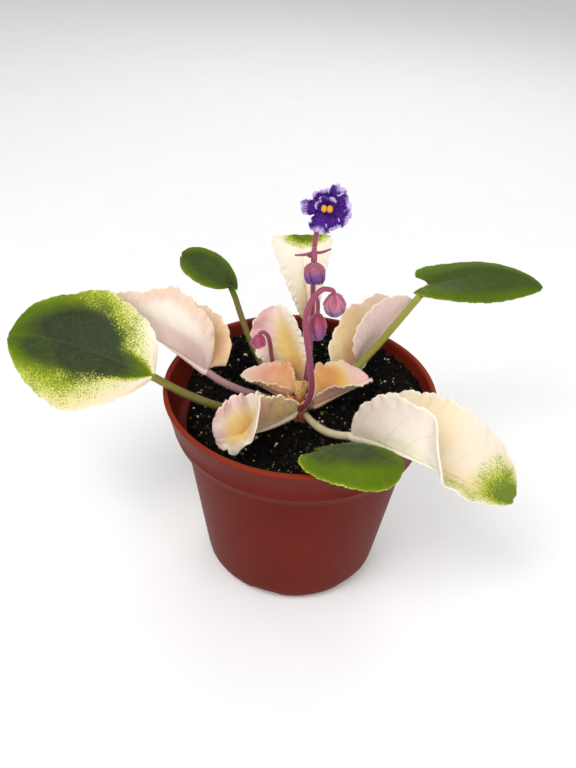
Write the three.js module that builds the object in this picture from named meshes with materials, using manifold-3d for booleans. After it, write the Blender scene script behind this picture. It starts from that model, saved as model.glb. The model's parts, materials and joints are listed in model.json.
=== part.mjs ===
// A potted african violet: a variegated rosette in a thin-walled plastic nursery pot.
// Millimetres, +Z up. The origin is the middle of the pot's flat underside, and the front is -Y.
import * as THREE from 'three';
import { mergeVertices } from 'three/addons/utils/BufferGeometryUtils.js';
import Module from 'manifold-3d';

const wasm = await Module();
wasm.setup();

// Clearance that two touching pieces keep.
const GAP = 0.3;

// The pot: a tapered cup with a stepped-out lip, like a 4 inch nursery pot.
const POT = {
  height: 81,
  wall: 1.2,
  rimRadius: 51,
  rimRound: 0.5,
  rimBand: 2,
  lipHeight: 16.5,
  lipFoot: 47.2,
  bodyTop: 44,
  bodyFoot: 35.5,
  footHeight: 7,
  footCurve: [[2.6, 1.6], [4, 4]],
  baseRadius: 31,
  floor: 1.8,
  floorRound: 0.6,
  sides: 48,
};
// Six shallow drainage channels cross the edge of the base, each with a slot through the floor.
const CHANNEL = {
  count: 6, depth: 1.8, inner: 19, slope: 5, edges: [0.35, 0.85],
  slotRadius: 29.5, slotWidth: 3, slotLength: 6,
};

// The soil fills the pot to just under the lip's step and rises a little towards the plant.
const SOIL = { wallLevel: 64.2, rise: 2.2, crumb: 0.5, rings: 4, looseness: 0.2, shoulder: 0.8 };

// The crown: the short stem that every stalk grows from. It stands in a plain hole in the soil.
const CROWN = {
  x: 0, y: -1, sides: 16, foot: 56, footRadius: 2.52, soilRadius: 3.6, step: 3,
  shoulder: 70, shoulderRadius: 3.4, top: 77, topRadius: 1.9, tipRadius: 1.14,
};
// The unopened leaves on top of it: the way each leans in degrees, its height and how far it leans.
// Their profile gives the share of the height, the share of the lean and the radius.
const LEAFLETS = {
  each: [[-90, 7.5, 1.6], [35, 6.5, 1.4], [150, 5.5, 1.3]],
  profile: [[0, 0, 1], [0.3, 0.5, 1.5], [0.65, 0.9, 1.3], [0.9, 0.95, 0.6]],
  apart: 0.5, sides: 8,
};

// Leaf blades and the round stalks under them.
const BLADE = { thickness: 0.8, rows: 18, columns: 3 };
const SMALL_BLADE = { thickness: 0.7, rows: 12, columns: 3 };
const PETIOLE = {
  radius: 1.45, rootRadius: 1.2, ribRadius: 0.5, sides: 6, steps: 7, smallSteps: 4,
  ribPlaces: [0.02, 0.15, 0.32, 0.5], ribSink: 0.7,
};

// Each leaf: its stalk from root to base, its midrib from base to tip, and the way its upper side
// faces at the base and at the tip. A half blade has its width, where along the leaf it is widest,
// how full its base and tip are, its fold up from the midrib and further curl in degrees, the lobe
// that it reaches back past the base, and its ruffle. The width, fold and curl are one value each,
// or several at even steps along the leaf.
const LEAVES = {
  leaf_left: {
    root: [-3.45, -1.6, 70], stalk: [[-24, -8, 68.5], [-42, -10, 80]], base: [-54, -7, 85.5],
    rib: [[-66, -9, 92], [-89.5, 2, 96]], tip: [-111, 7, 90],
    face: [[0.1, -0.55, 0.83], [-0.1, -0.5, 0.85]], teeth: 9, bite: 0.03,
    left: { width: 22.5, wide: 0.5, baseFull: 1.8, tipFull: 2.1, fold: 5, curl: -10 },
    right: { width: 21.5, wide: 0.5, baseFull: 2.3, tipFull: 2.1, fold: 8, ruffle: [1.5, 2.5, 0] },
  },
  leaf_upper_left: {
    root: [-3.2, 0.75, 71.6], stalk: [[-14, 5, 70], [-28, 6, 72]], base: [-36.6, 8, 79],
    rib: [[-46, 12, 83], [-61, 20, 88]], tip: [-77, 27, 92],
    face: [[0, 0, 1], [0, 0, 1]], teeth: 9, bite: 0.05,
    left: { width: 29, wide: 0.36, baseFull: 1.8, tipFull: 1.8, fold: [80, 80, 60], curl: [20, 10, 0],
      lobe: 1, ruffle: [1.5, 2.5, 0] },
    right: { width: 21, wide: 0.3, baseFull: 3, tipFull: 1.8, fold: [75, 40, 20], lobe: 6 },
  },
  leaf_back_left: {
    root: [-1.65, 2.1, 69.7], stalk: [[-14, 16, 69], [-23, 33, 78]], base: [-30.5, 43.3, 97],
    rib: [[-33.5, 41.2, 102], [-41.7, 49, 106]], tip: [-52.4, 54, 104],
    face: [[0.2, -0.6, 0.8], [0, -0.6, 0.8]], teeth: 6, bite: 0.02, small: true,
    left: { width: 9, wide: 0.55, baseFull: 1.6, tipFull: 2.4, fold: 0, lobe: -1 },
    right: { width: 6.3, wide: 0.55, baseFull: 1.6, tipFull: 2.4, fold: 5, lobe: 4 },
  },
  leaf_back: {
    root: [0.6, 2.45, 72], stalk: [[1, 14, 70], [1, 30, 76]], base: [1, 41.5, 86],
    rib: [[0, 43, 97], [-2.6, 41, 111]], tip: [-3.4, 50.6, 118],
    face: [[0, -0.8, 0.4], [0, -0.9, 0.4]], teeth: 9, bite: 0.05,
    left: { width: 12.5, wide: 0.85, baseFull: 1.8, tipFull: 4, fold: [70, 60, 0] },
    right: { width: 12.5, wide: 0.85, baseFull: 1.8, tipFull: 4, fold: [70, 60, 0] },
  },
  leaf_inner_back: {
    root: [-1.1, 1.1, 74.2], stalk: [[-1.5, 5.5, 76], [-1, 8, 77]], base: [-0.6, 12.4, 80],
    rib: [[-4, 16.8, 83], [-8, 17.4, 92]], tip: [-11, 23, 101],
    face: [[0, -0.8, 0.5], [0, -0.9, 0.5]], teeth: 9, bite: 0.08,
    left: { width: 13.5, wide: 0.6, baseFull: 1.1, tipFull: 2.3, fold: 6, ruffle: [0.8, 4.5, 1] },
    right: { width: 8, wide: 0.45, baseFull: 2.6, tipFull: 2.4, fold: 35, lobe: 2 },
  },
  leaf_right_back: {
    root: [1.9, 0.6, 74.6], stalk: [[9, 10, 73], [16, 21, 72]], base: [23.9, 25.5, 74],
    rib: [[28.4, 35, 82], [37.4, 45, 87]], tip: [44.6, 52.4, 89],
    face: [[0, 0, 1], [0, 0, 1]], teeth: 9, bite: 0.06,
    left: { width: 17.5, wide: 0.35, baseFull: 3, tipFull: 1.8, fold: [50, 25, 15], lobe: 10,
      ruffle: [1.5, 3, 0] },
    right: { width: 14, wide: 0.3, baseFull: 3, tipFull: 1.8, fold: [98, 104, 80] },
  },
  leaf_right: {
    root: [3.2, 0.5, 70], stalk: [[19.8, 13, 80.3], [31, 27, 84.5]], base: [49, 55.7, 95],
    rib: [[60.7, 59.6, 98], [84.6, 71, 99]], tip: [99.5, 61.5, 95],
    face: [[0, -0.2, 1], [0, -0.2, 1]], teeth: 9, bite: 0.03,
    left: { width: 8, wide: 0.5, baseFull: 2.6, tipFull: 1.8, fold: 15, curl: -10, lobe: 5 },
    right: { width: 11.5, wide: 0.5, baseFull: 2.6, tipFull: 1.8, fold: -10, curl: -25, lobe: 5 },
  },
  leaf_inner_left: {
    root: [-2.4, -0.6, 75], stalk: [[-2.7, -0.6, 75], [-3.1, -0.6, 75]], base: [-3.6, -0.6, 75],
    rib: [[-7.2, 0.9, 75.5], [-14.5, 2.5, 77]], tip: [-22.7, 7.4, 79],
    face: [[0, -0.1, 1], [0, -0.1, 1]], teeth: 6, bite: 0.1, small: true,
    left: { width: 9, wide: 0.45, baseFull: 2.4, tipFull: 1.7, fold: [75, 55, 30], ruffle: [0.5, 3.5, 0] },
    right: { width: 10.2, wide: 0.45, baseFull: 2.4, tipFull: 1.7, fold: [60, 30, 20], ruffle: [0.6, 3, 1] },
  },
  leaf_inner_right: {
    root: [2.6, -1.4, 74], stalk: [[3.5, -1.7, 74], [4.5, -2.2, 74]], base: [5.6, -2.6, 74],
    rib: [[10.7, 0.4, 75], [18.2, 4.3, 77]], tip: [26.5, 9, 79],
    face: [[0, -0.1, 1], [0, -0.1, 1]], teeth: 6, bite: 0.1, small: true,
    left: { width: 12, wide: 0.45, baseFull: 2.4, tipFull: 2, fold: [60, 22, 12], ruffle: [0.6, 3, 0] },
    right: { width: 11, wide: 0.45, baseFull: 2.4, tipFull: 2, fold: [80, 60, 40], ruffle: [0.5, 3.5, 1] },
  },
  leaf_front_left: {
    root: [-1.6, -3.4, 73], stalk: [[-1.7, -4, 72.5], [-1.6, -4.6, 72.2]], base: [-1.6, -5.2, 72],
    rib: [[-12.9, -17.7, 70.5], [-23, -24, 74]], tip: [-29, -24, 70.5],
    face: [[0, 0, 1], [-0.1, -0.9, 0.4]], teeth: 9, bite: 0.08,
    left: { width: [14, 16, 18.5, 20, 12.5, 6, 4], wide: 0.45, baseFull: 2.6, tipFull: 3,
      fold: [68, 78, 90, 103, 60, -5, -5], ruffle: [0.6, 5, 0] },
    right: { width: [13, 14, 14, 14.5, 15, 15, 13], wide: 0.5, baseFull: 2.6, tipFull: 2.6,
      fold: [40, 25, 10], ruffle: [1.2, 3.5, 2] },
  },
  leaf_right_front: {
    root: [3, -2.8, 71], stalk: [[9, -9, 71.5], [14, -15, 73]], base: [19.6, -20.7, 75],
    rib: [[32.5, -38, 87.5], [44.2, -60, 93.5]], tip: [76.5, -36.4, 64],
    face: [[0, 0, 1], [0.3, -0.7, 0.6]], teeth: 9, bite: 0.05,
    left: { width: 24, wide: 0.47, baseFull: 2.25, tipFull: 2.2, fold: [60, 20, 10] },
    right: { width: [17, 18, 21.5, 24, 7, 6, 5], wide: 0.42, baseFull: 2.1, tipFull: 3,
      fold: [98, 98, 98, 96, 30, -5, -5] },
  },
  leaf_front: {
    root: [1.5, -4.2, 68.6], stalk: [[12, -13, 68.5], [19, -33, 67]], base: [8.5, -40.2, 83.2],
    rib: [[14.4, -44, 86], [25.3, -47, 88.5]], tip: [35.2, -47, 84.5],
    face: [[0, 0, 1], [0, -0.2, 1]], teeth: 9, bite: 0.03,
    left: { width: 9.5, wide: 0.5, baseFull: 2.8, tipFull: 2.4, fold: -8, curl: -25, lobe: 2 },
    right: { width: 12, wide: 0.46, baseFull: 3.2, tipFull: 2.4, fold: [12, -6, -10], curl: -22, lobe: 6 },
  },
};

// Leaf colours seen from a step away.
const GREEN = 0x5f7d2a;
const CREAM = 0xeadfc0;
const PINK = 0xefd3ca;
const CORAL = 0xe5a585;
const LEAF_COLOURS = {
  leaf_left: GREEN, leaf_upper_left: PINK, leaf_back_left: GREEN, leaf_back: CREAM, leaf_inner_back: CREAM,
  leaf_right_back: PINK, leaf_right: GREEN, leaf_inner_left: CORAL, leaf_inner_right: CORAL,
  leaf_front_left: CREAM, leaf_right_front: CREAM, leaf_front: GREEN,
};

// Flower stalks, each a smooth line from the crown to the bud or flower that it carries.
const STALKS = {
  front: {
    radii: [1.15, 1.1, 1.0, 0.8], sides: 7, steps: 22,
    path: [[0.4, -5, 73], [3.2, -5.6, 78], [4.2, -4.8, 83], [3.5, -3.9, 90], [2.3, -3.2, 97],
      [0.7, -2.5, 106], [0.4, -1.8, 113], [2.4, -1.1, 119], [5.6, -0.4, 122.3], [8.7, 0.3, 121.8],
      [9.6, 0.3, 120.7]],
  },
  flower: {
    radii: [1.0, 0.95, 0.9, 0.9], sides: 7, steps: 22,
    path: [[0.8, 1.2, 76], [1.9, 4.5, 81], [2.5, 7.5, 90], [2.5, 9.3, 100], [2.3, 9, 114], [2, 8.6, 121],
      [1.6, 8, 132], [2, 9, 138.5], [3, 10.2, 142.6], [4.6, 10.5, 145.4]],
  },
  left: {
    radii: [0.9, 0.85, 0.8, 0.7], sides: 7, steps: 18,
    path: [[-1.6, 0.7, 76.8], [-3.4, 5.6, 79], [-7.2, 10.5, 79.4], [-10.8, 11.4, 81], [-11.7, 10.3, 86],
      [-12.5, 9.2, 93], [-13.6, 8.5, 96.8], [-15.2, 8, 98.2], [-16.6, 8, 97.2]],
  },
};

// Short stalks that branch off the flower's stalk, each to a bud of its own.
const PEDICELS = [
  [[2.3, 9, 113.6], [3.2, 6, 116], [4.2, 3.8, 114.4], [4.5, 3.2, 110.8]],
  [[1.7, 8.1, 133.6], [1.8, 5.4, 134.4], [2.1, 3.4, 133.2], [2.2, 2.9, 131.2]],
].map((path) => ({ radii: [0.7, 0.7], sides: 6, steps: 6, path }));

// Two thin bracts and a nub where the upper branch leaves the flower's stalk.
const BRACT = { droop: 0.4, taper: 0.6, sides: 6 };
const BRACTS = [
  { from: [1.6, 8, 132], to: [-4.9, 8, 130.4], radius: 0.55 },
  { from: [1.6, 8, 131.6], to: [7.4, 8, 133.6], radius: 0.55 },
  { from: [1.6, 8, 131], to: [-0.6, 6.8, 131.6], radius: 0.8 },
];

// Buds hang from their stalks. Each has its upper and lower end and its widest radius.
const BUDS = {
  bud_front: { top: [9.8, 0.3, 120.2], foot: [10.4, 0, 111.6], radius: 4.1, colour: 0xb9698f },
  bud_mid: { top: [2.2, 2.7, 130.7], foot: [2.4, 2.4, 122.6], radius: 4, colour: 0x9a62a0 },
  bud_low: { top: [4.5, 3.1, 110.3], foot: [4.8, 3, 100], radius: 3.4, colour: 0xb0507a },
  bud_left: { top: [-16.7, 8, 96.4], foot: [-16.6, 8, 91], radius: 2.6, colour: 0x9b3f63 },
};
// Every bud is an egg with shallow folds where its petals overlap. The profile gives the share of
// the length and the share of the widest radius.
const BUD = {
  sides: 15, folds: 5, foldDepth: 0.09, twist: 3,
  profile: [[0.04, 0.42], [0.16, 0.72], [0.36, 0.96], [0.58, 1], [0.78, 0.84], [0.93, 0.5], [1, 0.2]],
  nose: 1.02,
};

// The one open flower: ruffled petals in two layers round a pair of anthers, facing forwards.
const FLOWER = {
  centre: [4.9, 8.4, 148], facing: [0, -0.92, 0.39],
  tube: { reaches: [-2.6, -1.6, -0.4, 0.3], radii: [0.9, 1.6, 1.6, 1.1], sides: 10 },
  thickness: 0.6, rows: 5, columns: 2, ruffle: 0.8, root: 0.6,
  antherRadius: 1.2, antherReach: 2.7, antherApart: 0.8,
};

// Each petal: its direction round the throat in degrees, its length, half width and lift in degrees.
const PETALS = [
  [-25, 8, 4.4, 12], [20, 7.6, 4.2, 18], [62, 7.6, 3.8, 10], [118, 6.6, 4, 20], [176, 8.2, 4.2, 12],
  [255, 7.7, 4.8, 8], [300, 5.4, 3, 40], [225, 5.6, 3, 36], [95, 4.8, 3, 46],
];

// Colours of the other pieces.
const COLOURS = {
  pot: 0x6e2a22, soil: 0x1c1815, crown: 0x8c4a35, leaflets: 0xe3a52c, stalk: 0x9b3f63, leftStalk: 0x8c2550,
  petals: 0x2e0a6b, anthers: 0xe3b21c,
};

const vector = (point) => new THREE.Vector3(...point);

// A closed mesh from a flat list of triangle corners, turned so that its volume is positive.
function closedMesh(corners) {
  let geometry = new THREE.BufferGeometry();
  const places = corners.flatMap((point) => point.toArray());
  geometry.setAttribute('position', new THREE.Float32BufferAttribute(places, 3));
  geometry = mergeVertices(geometry, 1e-4);
  const index = geometry.index.array;
  const position = geometry.attributes.position;
  const a = new THREE.Vector3();
  const b = new THREE.Vector3();
  const c = new THREE.Vector3();
  const kept = [];
  let volume = 0;
  for (let i = 0; i < index.length; i += 3) {
    const [u, v, w] = [index[i], index[i + 1], index[i + 2]];
    if (u === v || v === w || w === u) continue;
    volume += a.fromBufferAttribute(position, u).dot(
      b.fromBufferAttribute(position, v).cross(c.fromBufferAttribute(position, w)),
    );
    kept.push([u, v, w]);
  }
  const turned = volume < 0 ? kept.map(([u, v, w]) => [u, w, v]) : kept;
  return { vertProperties: new Float32Array(position.array), triVerts: new Uint32Array(turned.flat()) };
}

function solid(corners) {
  return new wasm.Manifold(new wasm.Mesh({ numProp: 3, ...closedMesh(corners) }));
}

// Rings of equal count joined into a closed skin; a ring of one point is a pole.
function skin(rings) {
  const corners = [];
  for (let i = 0; i + 1 < rings.length; i += 1) {
    const [low, high] = [rings[i], rings[i + 1]];
    const count = Math.max(low.length, high.length);
    for (let j = 0; j < count; j += 1) {
      const next = (j + 1) % count;
      const [a, b] = [low[j % low.length], low[next % low.length]];
      const [c, d] = [high[next % high.length], high[j % high.length]];
      corners.push(a, b, c, a, c, d);
    }
  }
  return solid(corners);
}

// A round stalk along points, its radius given at each, with flat ends.
function tube(points, radii, sides) {
  const rings = [[points[0]]];
  let normal = new THREE.Vector3(0.3, 0.2, 1);
  points.forEach((point, i) => {
    const before = points[Math.max(i - 1, 0)];
    const after = points[Math.min(i + 1, points.length - 1)];
    const ahead = after.clone().sub(before).normalize();
    normal = normal.clone().addScaledVector(ahead, -normal.dot(ahead)).normalize();
    const side = new THREE.Vector3().crossVectors(ahead, normal);
    const ring = [];
    for (let k = 0; k < sides; k += 1) {
      const angle = (2 * Math.PI * k) / sides;
      ring.push(point.clone()
        .addScaledVector(normal, radii[i] * Math.cos(angle))
        .addScaledVector(side, radii[i] * Math.sin(angle)));
    }
    rings.push(ring);
  });
  rings.push([points[points.length - 1]]);
  return skin(rings);
}

// A value given once, or at even steps from base to tip: two or three values lie on one smooth curve,
// and a longer list eases from each value to the next.
function along(value = 0, t = 0) {
  if (typeof value === 'number') return value;
  const place = t * (value.length - 1);
  if (value.length > 3) {
    const before = Math.min(Math.floor(place), value.length - 2);
    return THREE.MathUtils.lerp(
      value[before], value[before + 1], THREE.MathUtils.smoothstep(place - before, 0, 1),
    );
  }
  let sum = 0;
  value.forEach((given, i) => {
    let weight = 1;
    for (let k = 0; k < value.length; k += 1) {
      if (k !== i) weight *= (place - k) / (i - k);
    }
    sum += given * weight;
  });
  return sum;
}

// Half width along the leaf, as a share of the widest.
function outline(half, t) {
  const behind = t < half.wide;
  const reach = behind ? (half.wide - t) / half.wide : (t - half.wide) / (1 - half.wide);
  const full = behind ? half.baseFull : half.tipFull;
  return Math.max(0, 1 - reach ** full) ** (1 / full);
}

// The section of a half blade at t: how far out and up its surface has come at share s of the width.
function section(half, t, s) {
  const steps = 12;
  let out = 0;
  let up = 0;
  for (let i = 0; i < steps; i += 1) {
    const share = (s * (i + 0.5)) / steps;
    const angle = THREE.MathUtils.degToRad(along(half.fold, t) + along(half.curl, t) * share ** 1.3);
    out += (s * Math.cos(angle)) / steps;
    up += (s * Math.sin(angle)) / steps;
  }
  return [out, up];
}

// The middle surface of a blade as rows of points from the left margin to the right.
function middleSurface(leaf, rows, columns) {
  const rib = new THREE.CubicBezierCurve3(vector(leaf.base), ...leaf.rib.map(vector), vector(leaf.tip));
  const surface = [];
  for (let k = 0; k <= rows; k += 1) {
    const even = k / rows;
    const t = 0.004 + 0.992 * (0.5 * even + 0.25 * (1 - Math.cos(Math.PI * even)));
    const ahead = rib.getTangent(t);
    const up = vector(leaf.face[0]).lerp(vector(leaf.face[1]), t);
    up.addScaledVector(ahead, -up.dot(ahead)).normalize();
    const right = new THREE.Vector3().crossVectors(ahead, up);
    const scallop = 1 - leaf.bite * (1 - Math.abs(Math.sin(Math.PI * leaf.teeth * even)));
    const row = [];
    for (let j = -columns; j <= columns; j += 1) {
      const half = j < 0 ? leaf.left : leaf.right;
      const s = Math.abs(j) / columns;
      const share = outline(half, t);
      const reach = along(half.width, t) * share * (1 + (scallop - 1) * s);
      const [out, rise] = section(half, t, s);
      const [height, count, start] = half.ruffle ?? [0, 0, 0];
      const ruffle = height * s * s * Math.sin(2 * Math.PI * count * t + start) * Math.min(1, 1.5 * share);
      row.push(rib.getPoint(t)
        .addScaledVector(right, Math.sign(j) * reach * out)
        .addScaledVector(up, reach * rise + ruffle)
        .addScaledVector(ahead, -(half.lobe ?? 0) * s ** 1.5 * (1 - t) ** 4));
    }
    surface.push(row);
  }
  return surface;
}

// A thin closed blade round a middle surface, split into triangles alike on both faces.
function blade(surface, thickness) {
  const rows = surface.length;
  const columns = surface[0].length;
  const faces = [[], []];
  for (let i = 0; i < rows; i += 1) {
    faces.forEach((face) => face.push([]));
    for (let j = 0; j < columns; j += 1) {
      const lengthwise = surface[Math.min(i + 1, rows - 1)][j].clone().sub(surface[Math.max(i - 1, 0)][j]);
      const crosswise = surface[i][Math.min(j + 1, columns - 1)].clone().sub(surface[i][Math.max(j - 1, 0)]);
      const normal = crosswise.cross(lengthwise).normalize();
      faces[0][i].push(surface[i][j].clone().addScaledVector(normal, thickness / 2));
      faces[1][i].push(surface[i][j].clone().addScaledVector(normal, -thickness / 2));
    }
  }
  const [top, under] = faces;
  const corners = [];
  for (let i = 0; i + 1 < rows; i += 1) {
    for (let j = 0; j + 1 < columns; j += 1) {
      corners.push(top[i][j], top[i][j + 1], top[i + 1][j + 1], top[i][j], top[i + 1][j + 1], top[i + 1][j]);
      corners.push(under[i][j], under[i + 1][j + 1], under[i][j + 1]);
      corners.push(under[i][j], under[i + 1][j], under[i + 1][j + 1]);
    }
  }
  const margin = [];
  for (let j = 0; j + 1 < columns; j += 1) margin.push([0, j]);
  for (let i = 0; i + 1 < rows; i += 1) margin.push([i, columns - 1]);
  for (let j = columns - 1; j > 0; j -= 1) margin.push([rows - 1, j]);
  for (let i = rows - 1; i > 0; i -= 1) margin.push([i, 0]);
  margin.forEach(([i, j], k) => {
    const [m, n] = margin[(k + 1) % margin.length];
    corners.push(top[i][j], under[i][j], under[m][n], top[i][j], under[m][n], top[m][n]);
  });
  return solid(corners);
}

// A stalk that runs on as a tapering midrib under its blade.
function petiole(leaf) {
  const stalk = new THREE.CubicBezierCurve3(vector(leaf.root), ...leaf.stalk.map(vector), vector(leaf.base));
  const rib = new THREE.CubicBezierCurve3(vector(leaf.base), ...leaf.rib.map(vector), vector(leaf.tip));
  const points = [];
  const radii = [];
  const steps = leaf.small ? PETIOLE.smallSteps : PETIOLE.steps;
  const thick = leaf.small ? PETIOLE.rootRadius : PETIOLE.radius;
  for (let i = 0; i < steps; i += 1) {
    const t = i / steps;
    points.push(stalk.getPoint(t));
    radii.push(THREE.MathUtils.lerp(PETIOLE.rootRadius, thick, Math.min(1, 3 * t)));
  }
  const ribEnd = PETIOLE.ribPlaces.at(-1);
  for (const t of PETIOLE.ribPlaces) {
    const radius = THREE.MathUtils.lerp(thick, PETIOLE.ribRadius, t / ribEnd);
    const ahead = rib.getTangent(t);
    const up = vector(leaf.face[0]).lerp(vector(leaf.face[1]), t);
    up.addScaledVector(ahead, -up.dot(ahead)).normalize();
    points.push(rib.getPoint(t).addScaledVector(up, -PETIOLE.ribSink * radius));
    radii.push(radius);
  }
  return tube(points, radii, PETIOLE.sides);
}

function leafSolid(leaf) {
  const make = leaf.small ? SMALL_BLADE : BLADE;
  return blade(middleSurface(leaf, make.rows, make.columns), make.thickness).add(petiole(leaf));
}

// A ring round the Z axis, its height given or worked out from the angle.
function ringAt(radius, height, sides) {
  const ring = [];
  for (let k = 0; k < sides; k += 1) {
    const angle = (2 * Math.PI * k) / sides;
    const z = typeof height === 'function' ? height(angle) : height;
    ring.push(new THREE.Vector3(radius * Math.cos(angle), radius * Math.sin(angle), z));
  }
  return ring;
}

// How deep a drainage channel has cut into the underside at an angle and radius.
function channelDepth(angle, radius) {
  const across = Math.sin(CHANNEL.count * angle);
  const bed = THREE.MathUtils.smoothstep(across, ...CHANNEL.edges);
  const outwards = THREE.MathUtils.smoothstep(radius, CHANNEL.inner, CHANNEL.inner + CHANNEL.slope);
  return CHANNEL.depth * bed * outwards;
}

// Outer radius of the pot's body at a height between foot and lip.
function bodyRadius(z) {
  const share = (z - POT.footHeight) / (POT.height - POT.lipHeight - POT.footHeight);
  return THREE.MathUtils.lerp(POT.bodyFoot, POT.bodyTop, share);
}

function potSolid() {
  const { sides, wall, height, rimRadius, rimRound, lipFoot, baseRadius, footHeight, floor } = POT;
  const lipBase = height - POT.lipHeight;
  const floorTop = CHANNEL.depth + floor;
  const at = (radius, z) => ringAt(radius, z, sides);
  const under = (radius, rise = 0, share = 1) => ringAt(
    radius, (angle) => rise + share * channelDepth(angle, radius), sides,
  );
  const [[footOut, footRise], [footTop, footTopRise]] = POT.footCurve;
  const rings = [
    [new THREE.Vector3(0, 0, 0)],
    at(CHANNEL.inner - CHANNEL.slope, 0),
    under(CHANNEL.inner + CHANNEL.slope / 2),
    under(CHANNEL.inner + CHANNEL.slope),
    under(baseRadius),
    under(baseRadius + footOut, footRise, 0.6),
    under(baseRadius + footTop, footTopRise, 0.2),
    at(POT.bodyFoot, footHeight),
    at(bodyRadius(lipBase), lipBase),
    at(lipFoot, lipBase),
    at(rimRadius - rimRound, height - POT.rimBand),
    at(rimRadius, height - POT.rimBand + rimRound),
    at(rimRadius, height - rimRound),
    at(rimRadius - rimRound, height),
    at(rimRadius - wall, height),
    at(rimRadius - wall - rimRound, height - 2 * rimRound),
    at(lipFoot - wall, lipBase + wall + rimRound),
    at(bodyRadius(lipBase) - wall, lipBase + wall),
    at(POT.bodyFoot - wall, footHeight),
    at(baseRadius + 1, floorTop + POT.floorRound),
    at(baseRadius - 2, floorTop),
    [new THREE.Vector3(0, 0, floorTop)],
  ];
  let pot = skin(rings);
  for (let k = 0; k < CHANNEL.count; k += 1) {
    const angle = ((2 * k + 0.5) * Math.PI) / CHANNEL.count;
    const slot = new THREE.BoxGeometry(CHANNEL.slotLength, CHANNEL.slotWidth, 4 * floor);
    slot.translate(CHANNEL.slotRadius, 0, floorTop - floor / 2);
    slot.rotateZ(angle);
    pot = pot.subtract(fromGeometry(slot));
  }
  return pot;
}

// A three.js geometry as a solid.
function fromGeometry(source) {
  const plain = source.index ? source.toNonIndexed() : source;
  const position = plain.attributes.position;
  const corners = [];
  for (let i = 0; i < position.count; i += 1) {
    corners.push(new THREE.Vector3().fromBufferAttribute(position, i));
  }
  return solid(corners);
}

// Height of the soil's loose surface: a low mound with waves a few millimetres long.
function soilHeight(x, y) {
  const reach = Math.min(1, Math.hypot(x, y) / POT.bodyTop);
  const broad = Math.sin(0.55 * x + 1.3) * Math.cos(0.47 * y - 0.4);
  const crumbs = broad + 0.6 * Math.sin(1.1 * y + 0.7 * x);
  return SOIL.wallLevel + SOIL.rise * (1 - reach * reach) + SOIL.crumb * crumbs * (1 - reach ** 6);
}

function soilSolid() {
  const clear = POT.wall + GAP + SOIL.looseness;
  const foot = CHANNEL.depth + POT.floor + GAP;
  const rings = [
    [new THREE.Vector3(0, 0, foot)],
    ringAt(POT.baseRadius - 2.5, foot, POT.sides),
    ringAt(POT.baseRadius + SOIL.looseness, foot + POT.floorRound + GAP, POT.sides),
    ringAt(POT.bodyFoot - clear - SOIL.looseness, POT.footHeight + SOIL.crumb, POT.sides),
    ringAt(bodyRadius(SOIL.wallLevel) - clear, SOIL.wallLevel, POT.sides),
  ];
  for (let i = SOIL.rings; i > 0; i -= 1) {
    const radius = ((bodyRadius(SOIL.wallLevel) - clear - SOIL.shoulder) * i) / SOIL.rings;
    const ring = ringAt(radius, 0, POT.sides);
    ring.forEach((point) => { point.z = soilHeight(point.x, point.y); });
    rings.push(ring);
  }
  rings.push([new THREE.Vector3(0, 0, soilHeight(0, 0))]);
  return skin(rings).subtract(crownSolid(GAP));
}

// The crown, or with a clearance the room that it takes.
function crownSolid(clearance = 0) {
  const axis = (z) => new THREE.Vector3(CROWN.x, CROWN.y, z);
  const at = (radius, z) => ringAt(radius + clearance, z, CROWN.sides).map((point) => point.add(axis(0)));
  return skin([
    [axis(CROWN.foot - clearance)],
    at(CROWN.footRadius, CROWN.foot - clearance),
    at(CROWN.soilRadius, CROWN.foot + CROWN.step),
    at(CROWN.shoulderRadius, CROWN.shoulder),
    at((CROWN.shoulderRadius + CROWN.topRadius) / 2, CROWN.shoulder + CROWN.step),
    at(CROWN.topRadius, CROWN.top - CROWN.step / 3),
    at(CROWN.tipRadius, CROWN.top + clearance),
    [axis(CROWN.top + clearance)],
  ]);
}

// Three tiny unopened leaves folded together on top of the crown.
function centreLeaflets() {
  const parts = LEAFLETS.each.map(([turn, height, lean]) => {
    const angle = THREE.MathUtils.degToRad(turn);
    const away = new THREE.Vector3(Math.cos(angle), Math.sin(angle), 0);
    const start = new THREE.Vector3(CROWN.x, CROWN.y, CROWN.top + GAP).addScaledVector(away, LEAFLETS.apart);
    const middle = (share, out) => start.clone()
      .add(new THREE.Vector3(0, 0, height * share))
      .addScaledVector(away, lean * out);
    const rings = LEAFLETS.profile.map(([share, out, radius]) => (
      ringAt(radius, 0, LEAFLETS.sides).map((point) => point.add(middle(share, out)))
    ));
    return skin([[start], ...rings, [middle(1, 0.9)]]);
  });
  return wasm.Manifold.union(parts);
}

// A stalk on a smooth curve through its points, its radii spread evenly along it.
function smoothTube({ path, radii, sides, steps }) {
  const curve = new THREE.CatmullRomCurve3(path.map(vector), false, 'centripetal');
  const thickness = [];
  for (let i = 0; i <= steps; i += 1) {
    const place = (i / steps) * (radii.length - 1);
    const before = Math.min(Math.floor(place), radii.length - 2);
    thickness.push(THREE.MathUtils.lerp(radii[before], radii[before + 1], place - before));
  }
  return tube(curve.getPoints(steps), thickness, sides);
}

// A thin bract that droops a little on its way out from the stalk.
function bract({ from, to, radius }) {
  const [start, end] = [vector(from), vector(to)];
  const middle = start.clone().lerp(end, 0.5).add(new THREE.Vector3(0, 0, -BRACT.droop));
  return tube([start, middle, end], [radius, radius, BRACT.taper * radius], BRACT.sides);
}

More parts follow.
